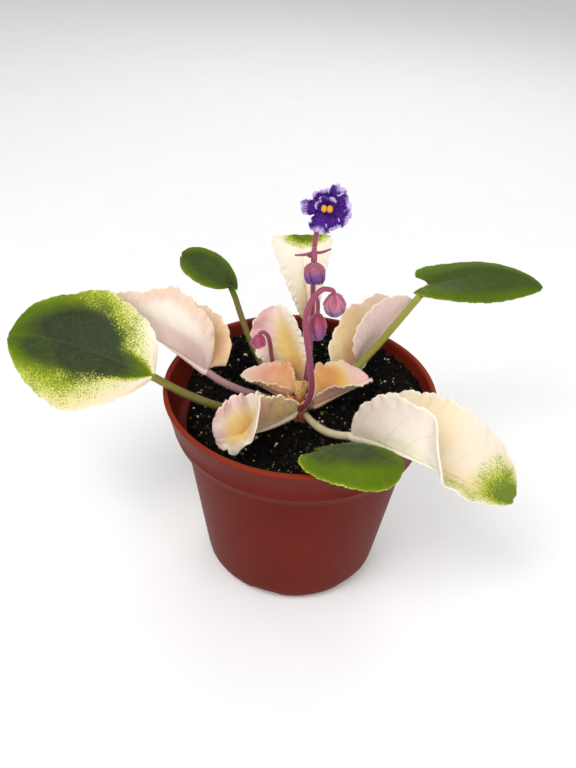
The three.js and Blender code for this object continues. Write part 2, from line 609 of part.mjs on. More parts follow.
// A closed bud round the line from its upper end to its lower one.
function budSolid({ top, foot, radius }) {
  const start = vector(top);
  const axis = vector(foot).sub(start);
  const length = axis.length();
  const ahead = axis.normalize();
  const side = new THREE.Vector3(1, 0, 0).addScaledVector(ahead, -ahead.x).normalize();
  const other = new THREE.Vector3().crossVectors(ahead, side);
  const rings = BUD.profile.map(([share, wide]) => {
    const ring = [];
    for (let k = 0; k < BUD.sides; k += 1) {
      const angle = (2 * Math.PI * k) / BUD.sides;
      const fold = 1 - BUD.foldDepth * share * (1 + Math.cos(BUD.folds * angle + BUD.twist * share));
      const reach = radius * wide * fold;
      ring.push(start.clone().addScaledVector(ahead, share * length)
        .addScaledVector(side, reach * Math.cos(angle))
        .addScaledVector(other, reach * Math.sin(angle)));
    }
    return ring;
  });
  return skin([[start], ...rings, [start.clone().addScaledVector(ahead, length * BUD.nose)]]);
}

// Petals round the flower's throat, each a ruffled blade that rises from its root.
function corolla() {
  const centre = vector(FLOWER.centre);
  const facing = vector(FLOWER.facing).normalize();
  const east = new THREE.Vector3(1, 0, 0);
  const north = new THREE.Vector3().crossVectors(facing, east);
  const parts = PETALS.map(([direction, length, width, tilt], k) => {
    const angle = THREE.MathUtils.degToRad(direction);
    const away = east.clone().multiplyScalar(Math.cos(angle)).addScaledVector(north, Math.sin(angle));
    const lift = THREE.MathUtils.degToRad(tilt);
    const ahead = away.clone().multiplyScalar(Math.cos(lift)).addScaledVector(facing, Math.sin(lift));
    const root = centre.clone().addScaledVector(away, FLOWER.root).addScaledVector(facing, -FLOWER.root);
    const place = (share, rise) => root.clone()
      .addScaledVector(ahead, length * share)
      .addScaledVector(facing, rise)
      .toArray();
    const face = facing.clone().addScaledVector(away, -0.3).toArray();
    const half = (count, start) => ({
      width, wide: 0.66, baseFull: 1.4, tipFull: 3, fold: 8, ruffle: [FLOWER.ruffle, count, start],
    });
    const petal = {
      base: place(0, 0), rib: [place(0.35, 0.2), place(0.7, 0.5)], tip: place(1, -0.4),
      face: [face, face], teeth: 3, bite: 0.12, left: half(2.5, 1.9 * k), right: half(2, k),
    };
    return blade(middleSurface(petal, FLOWER.rows, FLOWER.columns), FLOWER.thickness);
  });
  const heart = FLOWER.tube.reaches.map((reach) => centre.clone().addScaledVector(facing, reach));
  parts.push(tube(heart, FLOWER.tube.radii, FLOWER.tube.sides));
  return wasm.Manifold.union(parts);
}

// Two plump anthers side by side, just proud of the throat.
function anthers() {
  const radius = FLOWER.antherRadius;
  const centre = vector(FLOWER.centre).addScaledVector(vector(FLOWER.facing).normalize(), FLOWER.antherReach);
  const lobes = [-1, 1].map((side) => {
    const lobe = new THREE.IcosahedronGeometry(radius, 1);
    lobe.translate(centre.x + FLOWER.antherApart * radius * side, centre.y, centre.z);
    return fromGeometry(lobe);
  });
  return lobes[0].add(lobes[1]);
}

// One named mesh from a solid, without the slivers that a union can leave.
function mesh(name, body, colour, roughness = 0.6) {
  const [largest] = body.decompose().sort((a, b) => b.volume() - a.volume());
  const { vertProperties, triVerts } = largest.getMesh();
  const geometry = new THREE.BufferGeometry();
  geometry.setAttribute('position', new THREE.Float32BufferAttribute(vertProperties, 3));
  geometry.setIndex([...triVerts]);
  geometry.computeVertexNormals();
  const finish = new THREE.MeshStandardMaterial({ color: colour, roughness, metalness: 0 });
  const made = new THREE.Mesh(geometry, finish);
  made.name = name;
  return made;
}

const violet = new THREE.Group();
const crownRoom = crownSolid(GAP);

violet.add(mesh('pot', potSolid(), COLOURS.pot, 0.5));
violet.add(mesh('soil', soilSolid(), COLOURS.soil, 0.95));
violet.add(mesh('crown', crownSolid(), COLOURS.crown));
violet.add(mesh('centre_leaflets', centreLeaflets(), COLOURS.leaflets));
for (const [name, leaf] of Object.entries(LEAVES)) {
  violet.add(mesh(name, leafSolid(leaf).subtract(crownRoom), LEAF_COLOURS[name]));
}

const flowerStalk = wasm.Manifold.union([
  smoothTube(STALKS.flower), ...PEDICELS.map(smoothTube), ...BRACTS.map(bract),
]);
violet.add(mesh('stalk_front', smoothTube(STALKS.front).subtract(crownRoom), COLOURS.stalk));
violet.add(mesh('stalk_flower', flowerStalk.subtract(crownRoom), COLOURS.stalk));
violet.add(mesh('stalk_left', smoothTube(STALKS.left).subtract(crownRoom), COLOURS.leftStalk));
for (const [name, bud] of Object.entries(BUDS)) violet.add(mesh(name, budSolid(bud), bud.colour));
violet.add(mesh('flower_petals', corolla(), COLOURS.petals));
violet.add(mesh('flower_anthers', anthers(), COLOURS.anthers));

export default violet;
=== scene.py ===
import itertools
import json
import math

import bpy
import numpy as np
from bpy.props import FloatProperty, FloatVectorProperty, IntProperty, PointerProperty
from mathutils import Matrix, Vector


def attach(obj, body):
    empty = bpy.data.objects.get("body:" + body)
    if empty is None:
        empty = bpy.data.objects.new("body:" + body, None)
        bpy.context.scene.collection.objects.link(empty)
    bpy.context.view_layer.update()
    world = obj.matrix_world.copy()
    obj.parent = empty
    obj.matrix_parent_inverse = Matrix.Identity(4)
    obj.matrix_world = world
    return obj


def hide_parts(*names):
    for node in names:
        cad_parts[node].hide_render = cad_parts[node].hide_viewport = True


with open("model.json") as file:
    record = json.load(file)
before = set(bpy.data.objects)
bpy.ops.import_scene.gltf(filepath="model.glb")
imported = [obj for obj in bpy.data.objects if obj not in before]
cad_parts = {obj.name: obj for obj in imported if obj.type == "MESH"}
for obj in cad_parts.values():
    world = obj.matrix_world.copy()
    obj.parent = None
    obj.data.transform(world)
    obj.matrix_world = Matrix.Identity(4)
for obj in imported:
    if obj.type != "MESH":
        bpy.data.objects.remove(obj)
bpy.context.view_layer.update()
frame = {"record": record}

bl_info = {
    "name": "Potted African Violet",
    "version": (1, 0, 0),
    "blender": (4, 5, 0),
    "location": "View3D > Sidebar > Violet",
    "description": "Builds a variegated african violet in its nursery pot on the packed frame",
    "category": "Add Mesh",
}

MM = 0.001
BODY = "root"
SEED = 7
# Where each group's random seeds for its down start, above the common seed.
DOWN_SEEDS = {"leaves": 0, "stalks": 20, "buds": 30, "crown": 40}

# The pot, in millimetres: a tapered cup with a stepped-out lip.
POT = {
    "height": 81, "wall": 1.2, "rim": 51, "lip": 16.5, "lip_foot": 47.2, "body_top": 44,
    "body_foot": 35.5, "foot": 7, "base": 31, "floor": 1.8,
}
LIP_SLOPE = (POT["rim"] - 0.5 - POT["lip_foot"]) / (POT["lip"] - 2)
# How the pot's corners are rounded: how far out and how far up each point lies from the corner.
FOOT_CURVE = ((1.4, 0.6), (2.6, 1.6), (3.4, 2.8), (4, 4))
STEP_UNDER = ((0.15, -0.15), (0.6, 0))
STEP_EDGE = ((-0.5, 0), (-0.1, 0.15), (0.05, 0.6))
RIM_OUTSIDE = ((-0.1, -1.5), (0, -1.2), (0, -0.3), (-0.12, -0.1), (-0.4, 0))
RIM_INSIDE = ((-0.2, 0), (-0.55, -0.2), (-0.7, -1))
LEDGE_EDGE = ((0, 0.2), (-0.5, 0))
LEDGE_FOOT = ((0.4, 0), (0, -0.4))
FLOOR_CURVE = ((1, 0.6), (-2, 0))
# A fine bead runs round the lip: how far above the lip's foot, and how far it stands out.
LIP_BEAD = ((2.6, 0), (2.8, 0.12), (3.1, 0.12), (3.3, 0), (8, 0))
# Shallow channels cross the foot, with a slot between each two.
CHANNEL = {
    "count": 6, "depth": 1.8, "inner": 19, "ease": 5,
    "slot_radius": 29.5, "slot_width": 3, "slot_length": 6, "slot_height": 8, "slot_middle": 2.7,
}
# The soil is banked up against the wall at the back right.
SOIL = {"level": 64.2, "rise": 2.2, "crumb": 0.5, "fine": 0.22, "bank": 11.5, "bank_turn": 65, "clear": 0.5,
        "sides": 160, "rings": 62}
CROWN = {"x": 0, "y": -1, "foot": 56, "soil_radius": 3.6, "shoulder": 70, "shoulder_radius": 3.4, "top": 77,
         "top_radius": 1.9}
# Each unopened leaf: its turn round the crown in degrees, height, lean, how far below the crown's top it
# starts, half width, fold in degrees and how much coral is in it.
YOUNG_LEAVES = (
    (-85, 9.2, 1.2, 1.6, 4.4, 50, 0.5), (40, 5.6, 1.4, 0.3, 3.4, 50, 0.3), (150, 5.8, 1.6, 0.3, 3.6, 45, 0.3),
    (-140, 5, 2.4, 4, 4.6, 22, 0.7), (-35, 5, 2.4, 4, 4.6, 22, 0.8),
)
# A leaf's stalk, and the midrib that it runs on as: the radii, how far along the blade the midrib goes, where
# and how fast it has thinned out, how deep it hangs under the blade in radii, and where across it it lies.
PETIOLE = {"sides": 16, "radius": 1.45, "small_radius": 1.2, "rib": 0.35, "steps": 40, "small_steps": 14,
           "rib_start": 0.02, "rib_end": 0.86, "rib_steps": 34, "rib_thin": 0.8, "rib_taper": 1.3,
           "rib_sunk": 0.7, "rib_across": 0.53}
# What all blades share: how close to its ends one is drawn, how deep its small scallops are, how late across
# it the curl sets in, the steps that its curve is summed in, and how much thinner it is at the margin.
BLADE = {"end": 0.004, "crenate": 0.022, "curl_late": 1.3, "steps": 12, "thin": 0.3}
# Rows along and columns across half a blade.
GRIDS = {"leaf": (120, 26), "small": (72, 18), "young": (28, 8), "petal": (44, 14)}
# Rings along and corners round the turned and drawn-out parts. A stalk has its rings for each point given.
ROUND = {"crown": (30, 40), "stalk": (14, 16), "throat": (12, 20), "anther": (18, 24)}
# How far a tube's closed end bulges, as a share of its radius.
TUBE_END = 0.4
# Blades that are thinner than a grown leaf's.
YOUNG_BLADE = 0.5 * MM
PETAL_BLADE = 0.5 * MM
SEPAL_BLADE = 0.3 * MM

# Each leaf: its stalk from root to base, its midrib from base to tip, and the way its upper side faces
# at the base and at the tip. A half blade has its width, where along the leaf it is widest, how full its
# base and tip are, its fold up from the midrib and further curl in degrees, the lobe that it reaches back
# past the base, and its ruffle. Crenate is the count of small scallops along a margin.
LEAVES = {
    "leaf_left": {
        "root": (-3.45, -1.6, 70), "stalk": [(-24, -8, 68.5), (-42, -10, 80)], "base": (-54, -7, 85.5),
        "rib": [(-66, -9, 92), (-89.5, 2, 96)], "tip": (-111, 7, 90),
        "face": [(0.1, -0.55, 0.83), (-0.1, -0.5, 0.85)], "teeth": 9, "bite": 0.03, "crenate": 26,
        "left": {"width": 25, "wide": 0.44, "base": 1.2, "tip": 1.7, "fold": 5, "curl": -10},
        "right": {"width": 23.5, "wide": 0.55, "base": 2, "tip": 1.5, "fold": 8, "ruffle": (1.5, 2.5, 0)},
    },
    "leaf_upper_left": {
        "root": (-3.2, 0.75, 71.6), "stalk": [(-14, 5, 70), (-28, 6, 72)], "base": (-36.6, 8, 79),
        "rib": [(-46, 12, 83), (-61, 20, 88)], "tip": (-77, 27, 92),
        "face": [(0, 0, 1), (0, 0, 1)], "teeth": 9, "bite": 0.05, "crenate": 24,
        "left": {"width": 29, "wide": 0.36, "base": 1.8, "tip": 1.8, "fold": (80, 80, 60),
                 "curl": (20, 10, 0), "lobe": 1, "ruffle": (1.5, 2.5, 0)},
        "right": {"width": 21, "wide": 0.3, "base": 3, "tip": 1.8, "fold": (75, 40, 20), "lobe": 6},
    },
    "leaf_back_left": {
        "root": (-1.65, 2.1, 69.7), "stalk": [(-14, 16, 69), (-23, 33, 78)], "base": (-30.5, 43.3, 97),
        "rib": [(-33.5, 41.2, 102), (-41.7, 49, 106)], "tip": (-52.4, 54, 104),
        "face": [(0.2, -0.6, 0.8), (0, -0.6, 0.8)], "teeth": 6, "bite": 0.02, "small": True, "crenate": 16,
        "left": {"width": 9, "wide": 0.55, "base": 1.6, "tip": 2.4, "fold": 0, "lobe": -1},
        "right": {"width": 6.3, "wide": 0.55, "base": 1.6, "tip": 2.4, "fold": 5, "lobe": 4},
    },
    "leaf_back": {
        "root": (0.6, 2.45, 72), "stalk": [(1, 14, 70), (1, 30, 76)], "base": (1, 41.5, 86),
        "rib": [(0, 43, 97), (-2.6, 41, 111)], "tip": (-3.4, 50.6, 118),
        "face": [(0, -0.8, 0.4), (0, -0.9, 0.4)], "teeth": 9, "bite": 0.05, "crenate": 20,
        "left": {"width": 12.5, "wide": 0.85, "base": 2.4, "tip": 4, "fold": (60, 55, 0)},
        "right": {"width": 12.5, "wide": 0.85, "base": 2.6, "tip": 4, "fold": (60, 50, 0)},
    },
    "leaf_inner_back": {
        "root": (-1.1, 1.1, 73.4), "stalk": [(-1.3, 3.5, 74), (-1.2, 6, 74.2)], "base": (-1, 9.4, 76),
        "rib": [(-4, 16.8, 83), (-8, 17.4, 92)], "tip": (-11, 23, 101),
        "face": [(0, -0.8, 0.5), (0, -0.9, 0.5)], "teeth": 9, "bite": 0.08, "crenate": 16,
        "left": {"width": 13.5, "wide": 0.6, "base": 1.5, "tip": 2.3, "fold": 6, "lobe": 4,
                 "ruffle": (0.8, 4.5, 1)},
        "right": {"width": 8, "wide": 0.45, "base": 2.8, "tip": 2.4, "fold": 35, "lobe": 5},
    },
    "leaf_right_back": {
        "root": (1.9, 0.6, 74.6), "stalk": [(9, 10, 73), (16, 21, 72)], "base": (23.9, 25.5, 74),
        "rib": [(28.4, 35, 82), (37.4, 45, 87)], "tip": (44.6, 52.4, 89),
        "face": [(0, 0, 1), (0, 0, 1)], "teeth": 9, "bite": 0.06, "crenate": 22,
        "left": {"width": 17.5, "wide": 0.35, "base": 3, "tip": 1.8, "fold": (50, 25, 15), "lobe": 10,
                 "ruffle": (1.5, 3, 0)},
        "right": {"width": 14, "wide": 0.3, "base": 3, "tip": 1.8, "fold": (98, 104, 80)},
    },
    "leaf_right": {
        "root": (3.2, 0.5, 70), "stalk": [(22, 13.5, 77.5), (35, 31, 90.5)], "base": (51, 56.2, 96),
        "rib": [(63.5, 60, 98), (84.6, 71, 99)], "tip": (99.5, 61.5, 95),
        "face": [(0, -0.2, 1), (0, -0.2, 1)], "teeth": 9, "bite": 0.03, "crenate": 26,
        "left": {"width": (12, 8.5, 8), "wide": 0.45, "base": 5, "tip": 1.8, "fold": 15, "curl": -10,
                 "lobe": 4},
        "right": {"width": 13, "wide": 0.45, "base": 2.8, "tip": 1.8, "fold": (28, -8, -12), "curl": -25,
                  "lobe": 8.5},
    },
    "leaf_inner_left": {
        "root": (-2.4, -0.6, 75), "stalk": [(-2.7, -0.6, 75), (-3.1, -0.6, 75)], "base": (-3.6, -0.6, 75),
        "rib": [(-7.2, 0.9, 75.5), (-14.5, 2.5, 77)], "tip": (-22.7, 7.4, 79),
        "face": [(0, -0.1, 1), (0, -0.1, 1)], "teeth": 6, "bite": 0.1, "small": True, "crenate": 12,
        "left": {"width": 9, "wide": 0.45, "base": 2.4, "tip": 1.7, "fold": (75, 55, 30),
                 "ruffle": (0.5, 3.5, 0)},
        "right": {"width": 12.4, "wide": 0.45, "base": 2.4, "tip": 1.7, "fold": (62, 38, 25),
                  "ruffle": (0.6, 3, 1)},
    },
    "leaf_inner_right": {
        "root": (2.6, -1.4, 74), "stalk": [(3.5, -1.7, 74), (4.5, -2.2, 74)], "base": (5.6, -2.6, 74),
        "rib": [(10.7, 0.4, 75), (18.2, 4.3, 77)], "tip": (26.5, 9, 79),
        "face": [(0, -0.1, 1), (0, -0.1, 1)], "teeth": 6, "bite": 0.1, "small": True, "crenate": 12,
        "left": {"width": 14, "wide": 0.4, "base": 2.4, "tip": 2.6, "fold": (62, 34, 15),
                 "ruffle": (0.6, 3, 0)},
        "right": {"width": 11, "wide": 0.45, "base": 2.4, "tip": 2.6, "fold": (80, 60, 40),
                  "ruffle": (0.5, 3.5, 1)},
    },
    "leaf_front_left": {
        "root": (-1.6, -3.4, 73), "stalk": [(-1.7, -4, 72.5), (-1.6, -4.6, 72.2)], "base": (-1.6, -5.2, 72),
        "rib": [(-12.9, -17.7, 70.5), (-23, -24, 74)], "tip": (-29, -24, 72),
        "face": [(0, 0, 1), (-0.1, -0.9, 0.4)], "teeth": 9, "bite": 0.08, "crenate": 18,
        "left": {"width": (14, 16, 18.5, 20, 11, 5, 4.5), "wide": 0.45, "base": 2.6, "tip": 4,
                 "fold": (68, 78, 90, 103, 60, -5, -5), "ruffle": (0.6, 5, 0)},
        "right": {"width": (13, 14, 14, 14.5, 15, 14, 12), "wide": 0.5, "base": 2.6, "tip": 2.8,
                  "fold": (40, 25, 10), "ruffle": (1.2, 3.5, 2)},
    },
    "leaf_right_front": {
        "root": (2.6, -3.4, 70), "stalk": [(7.5, -11.5, 68.8), (13, -17.5, 71.5)], "base": (19.6, -20.7, 75),
        "rib": [(32.5, -38, 87.5), (44.2, -60, 93.5)], "tip": (76.5, -36.4, 64),
        "face": [(0, 0, 1), (0.3, -0.7, 0.6)], "teeth": 9, "bite": 0.05, "crenate": 30,
        "left": {"width": 24, "wide": 0.47, "base": 2.25, "tip": 2.2, "fold": (60, 20, 10)},
        "right": {"width": (17, 18, 21.5, 24, 7, 6, 5), "wide": 0.42, "base": 2.1, "tip": 3,
                  "fold": (98, 98, 98, 96, 30, -5, -5)},
    },
    "leaf_front": {
        "root": (1.5, -4.2, 65.5), "stalk": [(12, -13, 62.5), (19, -33, 62)], "base": (8.5, -40.2, 83.2),
        "rib": [(14.4, -44, 86), (25.3, -47, 88.5)], "tip": (35.2, -47, 84.5),
        "face": [(0, 0, 1), (0, -0.2, 1)], "teeth": 9, "bite": 0.03, "crenate": 20,
        "left": {"width": 9.5, "wide": 0.5, "base": 2.8, "tip": 2.4, "fold": -8, "curl": -25, "lobe": 5},
        "right": {"width": 12, "wide": 0.46, "base": 3.2, "tip": 2.4, "fold": (12, -6, -10), "curl": -22,
                  "lobe": 6},
    },
}

# Colour patches of each leaf: what they add, on which side, their centre along the leaf and across it
# (-1 at the left margin, 1 at the right), their reach both ways, and their strength. Where two patches of
# one colour meet, the stronger one shows.
PATCHES = {
    "leaf_left": [
        ("green", "both", 1.24, 0.15, 1.35, 1.7, 0.95), ("green", "both", 0.25, -0.05, 0.45, 0.5, 0.9),
        ("green", "both", 0.6, 0.1, 0.5, 0.9, 1), ("deep", "top", 0.58, 0.25, 0.42, 0.62, 1),
        ("deep", "top", 0.45, -0.1, 0.42, 0.55, 0.95), ("deep", "top", 0.74, -0.2, 0.26, 0.45, 0.8),
        ("gold", "top", 0.35, -1, 0.7, 0.4, 0.22), ("pale", "top", 0.1, 0.9, 0.35, 0.5, 0.6),
    ],
    "leaf_upper_left": [
        ("pink", "under", 0.4, -0.5, 0.7, 0.9, 0.5), ("pink", "top", 0.2, 0.7, 0.5, 0.8, 0.35),
        ("gold", "both", 0.3, -1, 0.6, 0.3, 0.5), ("gold", "top", 0.05, 0.6, 0.4, 0.9, 0.7),
        ("coral", "top", 0.05, 0.5, 0.25, 0.5, 0.3), ("pale", "under", 0.45, -0.6, 0.35, 0.25, 0.8),
        ("rose", "under", 0.1, -0.2, 0.45, 0.35, 0.3),
    ],
    "leaf_back_left": [("green", "both", 0.45, 0.1, 2, 1.8, 1), ("deep", "top", 0.45, 0, 0.85, 1, 0.75)],
    "leaf_back": [
        ("green", "both", 1.06, 0.15, 0.26, 1.1, 0.9), ("gold", "top", 0.15, 0, 0.4, 1.2, 0.5),
        ("pale", "both", 0.6, 0, 0.6, 1.5, 0.7),
    ],
    "leaf_inner_back": [
        ("gold", "top", 0.4, 0.1, 0.6, 0.8, 0.8), ("pink", "both", 0.85, -0.7, 0.5, 0.7, 0.7),
        ("rose", "both", 0.9, -0.9, 0.3, 0.5, 0.35), ("coral", "top", 0.08, 0, 0.3, 1.2, 0.6),
    ],
    "leaf_right_back": [
        ("pink", "under", 0.4, 0.5, 0.8, 1.2, 0.7), ("gold", "top", 0.15, -0.5, 0.5, 0.9, 0.55),
        ("coral", "top", 0.08, -0.3, 0.25, 0.4, 0.5), ("coral", "both", 0.6, -0.9, 0.4, 0.3, 0.3),
    ],
    "leaf_right": [("green", "both", 0.5, 0, 2, 1.8, 1), ("deep", "top", 0.5, 0, 0.8, 1, 0.65)],
    "leaf_inner_left": [
        ("coral", "top", 0.35, 0.4, 0.7, 0.9, 0.75), ("coral", "under", 0.3, -0.5, 0.8, 1.1, 0.85),
        ("gold", "top", 0.15, 0.9, 0.6, 0.5, 0.6), ("gold", "under", 0.25, -0.8, 0.6, 0.6, 0.7),
        ("rose", "top", 0.9, 0.3, 0.4, 0.8, 0.25), ("pink", "both", 0.7, 0.95, 0.4, 0.4, 0.5),
    ],
    "leaf_inner_right": [
        ("coral", "top", 0.4, -0.6, 0.35, 0.55, 0.75), ("coral", "under", 0.2, 0.3, 0.5, 1, 0.8),
        ("gold", "top", 0.5, -0.2, 0.7, 1, 0.95), ("pink", "both", 1, 0, 0.38, 1.6, 0.9),
        ("rose", "both", 0.3, 0.8, 0.3, 0.5, 0.55), ("gold", "under", 0.6, 0.5, 0.4, 0.6, 0.4),
    ],
    "leaf_front_left": [
        ("gold", "top", 0.55, 0, 0.42, 0.8, 0.85), ("coral", "top", 0.5, 0.05, 0.2, 0.35, 0.3),
        ("pink", "both", 0.8, 1, 0.5, 0.5, 0.9), ("gold", "under", 0.3, -0.7, 0.9, 0.9, 1),
        ("rose", "under", 0.4, -0.6, 0.16, 0.5, 0.45), ("pink", "both", 1, 0, 0.25, 0.8, 0.8),
        ("coral", "under", 0.2, -0.7, 0.7, 0.9, 0.12),
    ],
    "leaf_right_front": [
        ("green", "both", 1.06, 0.05, 0.32, 1.2, 0.82), ("gold", "top", 0.72, 0.3, 0.35, 0.6, 0.4),
        ("gold", "top", 0.3, -0.5, 0.45, 0.7, 0.3),
        ("pale", "under", 0.6, 0, 0.5, 1.5, 0.7), ("green", "top", 0.72, 0.6, 0.3, 0.5, 0.3),
        ("green", "under", 0.3, 0.1, 0.4, 0.22, 0.16), ("pink", "under", 0.3, 0.7, 0.5, 0.6, 0.25),
    ],
    "leaf_front": [
        ("green", "both", 0.5, -0.6, 2.5, 2.75, 1), ("deep", "top", 0.35, -0.25, 0.7, 0.75, 0.8),
        ("deep", "top", 0.1, 0.2, 0.35, 0.5, 0.6),
    ],
}
# Where across a leaf its thin margin starts, and how much green the margin loses.
MARGIN = {"start": 0.95, "bleach": 0.6}
# The colour that each leaf's margin takes, and how strongly.
MARGINS = {
    "leaf_left": ("pale", 0.35), "leaf_upper_left": ("gold", 0.6), "leaf_back_left": ("gold", 0.15),
    "leaf_back": ("pale", 0.3), "leaf_inner_back": ("pale", 0.6), "leaf_right_back": ("pale", 0.6),
    "leaf_right": ("gold", 0.2), "leaf_inner_left": ("gold", 0.4), "leaf_inner_right": ("gold", 0.4),
    "leaf_front_left": ("pale", 0.35), "leaf_right_front": ("pale", 0.6), "leaf_front": ("gold", 0.5),
}
FIELDS = ("green", "deep", "pink", "gold", "coral", "rose", "pale", "under")
# The lateral veins: how many pairs, and how far along the leaf each one sweeps on its way to the margin.
VEINS = {"pairs": 8, "sweep": 0.24}

# The tone of each leaf's stalk.
TONES = {
    "leaf_left": "olive", "leaf_upper_left": "mauve", "leaf_back_left": "olive", "leaf_back": "cream",
    "leaf_inner_back": "rose", "leaf_right_back": "cream", "leaf_right": "lime", "leaf_inner_left": "rose",
    "leaf_inner_right": "rose", "leaf_front_left": "cream", "leaf_right_front": "pale", "leaf_front": "olive",
}
# Each tone's colour along the stalk, then its darker colour at the root. The rose tone's dark root colour is
# painted shade in the gap under the middle leaves.
TONE_COLOURS = {
    "olive": ("#736C28", "#5C4622"), "mauve": ("#A8827E", "#8C6068"), "cream": ("#EDE2BE", "#D9C49A"),
    "rose": ("#C08A5C", "#8A4A30"), "lime": ("#98943C", "#6E6626"), "pale": ("#D4C8A4", "#8A7C4A"),
}

# Flower stalks, each a smooth line through its points.
STALKS = {
    "stalk_front": [{
        "radii": (1.15, 1.1, 1.0, 0.8),
        "path": [(0.4, -5, 73), (3.2, -5.6, 78), (4.2, -4.8, 83), (3.5, -3.9, 90), (2.3, -3.2, 97),
                 (0.7, -2.5, 106), (0.4, -1.8, 113), (2.4, -1.1, 119), (5.6, -0.4, 122.3), (8.7, 0.3, 121.8),
                 (9.6, 0.3, 120.7)],
    }],
    "stalk_flower": [
        {
            "radii": (1.0, 0.95, 0.9, 0.9),
            "path": [(0.8, 1.2, 76), (1.9, 4.5, 81), (2.5, 7.5, 90), (2.5, 9.3, 100), (2.3, 9, 114),
                     (2, 8.6, 121), (1.6, 8, 132), (2, 9, 138.5), (3, 10.2, 142.6), (4.6, 10.5, 145.4)],
        },
        {
            "radii": (0.7, 0.7),
            "path": [(2.3, 9, 113.6), (3.2, 6, 116), (4.2, 3.8, 114.4), (4.5, 3.2, 110.8)],
        },
        {
            "radii": (0.7, 0.7),
            "path": [(1.7, 8.1, 133.6), (1.8, 5.4, 134.4), (2.1, 3.4, 133.2), (2.2, 2.9, 131.2)],
        },
        {"radii": (0.55, 0.5, 0.3), "path": [(1.6, 8, 132), (-1.6, 8, 130.8), (-4.9, 8, 130.4)]},
        {"radii": (0.55, 0.5, 0.3), "path": [(1.6, 8, 131.6), (4.5, 8, 132.2), (7.4, 8, 133.6)]},
        {"radii": (0.8, 0.9, 0.6), "path": [(1.6, 8, 131), (0.5, 7.4, 131), (-0.6, 6.8, 131.6)]},
    ],
    "stalk_left": [{
        "radii": (0.9, 0.85, 0.8, 0.7),
        "path": [(-1.6, 0.7, 76.8), (-3.4, 5.6, 79), (-7.2, 10.5, 79.4), (-10.8, 11.4, 81), (-11.7, 10.3, 86),
                 (-12.5, 9.2, 93), (-13.6, 8.5, 96.8), (-15.2, 8, 98.2), (-16.6, 8, 97.2)],
    }],
}

# Buds hang from their stalks: upper and lower end, widest radius, how far the sepals reach down, how far
# the petals have opened, and the colours at the top and at the tip.
BUDS = {
    "bud_front": {"top": (9.8, 0.3, 120.2), "foot": (10.4, 0, 111.6), "radius": 4.1, "sepals": 0.42,
                  "gape": 0, "colours": ("#BC7082", "#857096")},
    "bud_mid": {"top": (2.2, 2.7, 130.7), "foot": (2.3, 0.2, 124), "radius": 4, "sepals": 0.32,
                "gape": 1, "colours": ("#9C566C", "#5C3A7C")},
    "bud_low": {"top": (4.5, 3.1, 110.3), "foot": (4.8, 1.4, 100.8), "radius": 3.4, "sepals": 0.5,
                "gape": 0.6, "colours": ("#A03C5C", "#8E5C8C")},
    "bud_left": {"top": (-16.7, 8, 96.4), "foot": (-16.6, 8, 91), "radius": 2.6, "sepals": 0.75,
                 "gape": 0, "colours": ("#B03A66", "#C77A94")},
}

# A bud's petals overlap in turn, and their edges wind round it.
BUD_WRAP = {"petals": 5, "twist": 0.55}
# The places down a bud at which its outline is given.
BUD_SHARES = (0, 0.04, 0.16, 0.36, 0.58, 0.78, 0.93, 1)
# An opening bud's petals curl back in at its end, ring inside ring: how far down it, and how wide.
BUD_CURL = ((0.97, 0.6), (0.86, 0.52), (0.8, 0.4), (0.93, 0.3), (0.9, 0.2))
BUD_GRID = {"rings": 44, "around": 60, "sepal_rows": 16, "sepal_columns": 7}
# The sepals: half a sepal's width as an angle round the bud, and how far its edge and its keel stand off.
SEPALS = {"count": 5, "half_angle": 0.3, "clear": 0.05, "keel": 0.1}

# The flower: its middle, the way it faces, where its petals start, and its throat's radii from back to front
# at shares of its length.
FLOWER = {"centre": (4.9, 8.4, 148), "facing": (0, -0.92, 0.39), "petal_root": 0.6,
          "throat": (0.9, 1.6, 1.6, 1.1), "throat_shares": (0, 0.35, 0.75, 1),
          "throat_back": -2.6, "throat_front": 0.3}
# The two anthers: how far they stand out of the flower, and off its middle in radii, and how deep and wide
# the groove down each one is.
ANTHER = {"radius": 1.2, "reach": 2.7, "apart": 0.8, "groove": 0.16, "groove_width": 0.3}
# Each petal: its direction round the throat in degrees, its length, half width and lift in degrees.
PETALS = (
    (-22, 7.5, 3.6, 8), (24, 7.2, 3.2, 14), (60, 7.8, 3, 6), (118, 6, 3.2, 20), (178, 7.8, 2.8, 6),
    (252, 7.4, 4.2, 6), (296, 6.8, 2.6, 14), (140, 4.2, 2.6, 44), (84, 4.4, 2.8, 50),
)

CAMERA = {"place": (0, -243.17, 256.7), "aim": (-4.69, 0.05, 81), "roll": 3.143, "lens": 37.57, "sensor": 36}
# The floor's half width and the point that the lamps face, in metres, and the strength of the sky.
STAGE = {"floor": 2.5, "lit": (0, 0, 0.08), "sky": 0.55}
# Soft square lamps: place and width in metres, and power in watts.
LAMPS = (
    ("key", (-0.35, -0.4, 0.8), 0.4, 4.0), ("fill", (0.6, -0.35, 0.5), 0.6, 1.4),
    ("back", (0.1, 0.7, 0.7), 0.6, 2.0), ("front", (0.05, -0.8, 0.35), 0.5, 2.0),
)


def linear(code):
    """A hex sRGB colour as linear RGBA."""
    channels = [int(code[i:i + 2], 16) / 255 for i in (1, 3, 5)]
    return tuple(c / 12.92 if c <= 0.04045 else ((c + 0.055) / 1.055) ** 2.4 for c in channels) + (1.0,)


LENGTH = {"unit": "LENGTH", "precision": 5}
TINT = {"subtype": "COLOR", "size": 4}


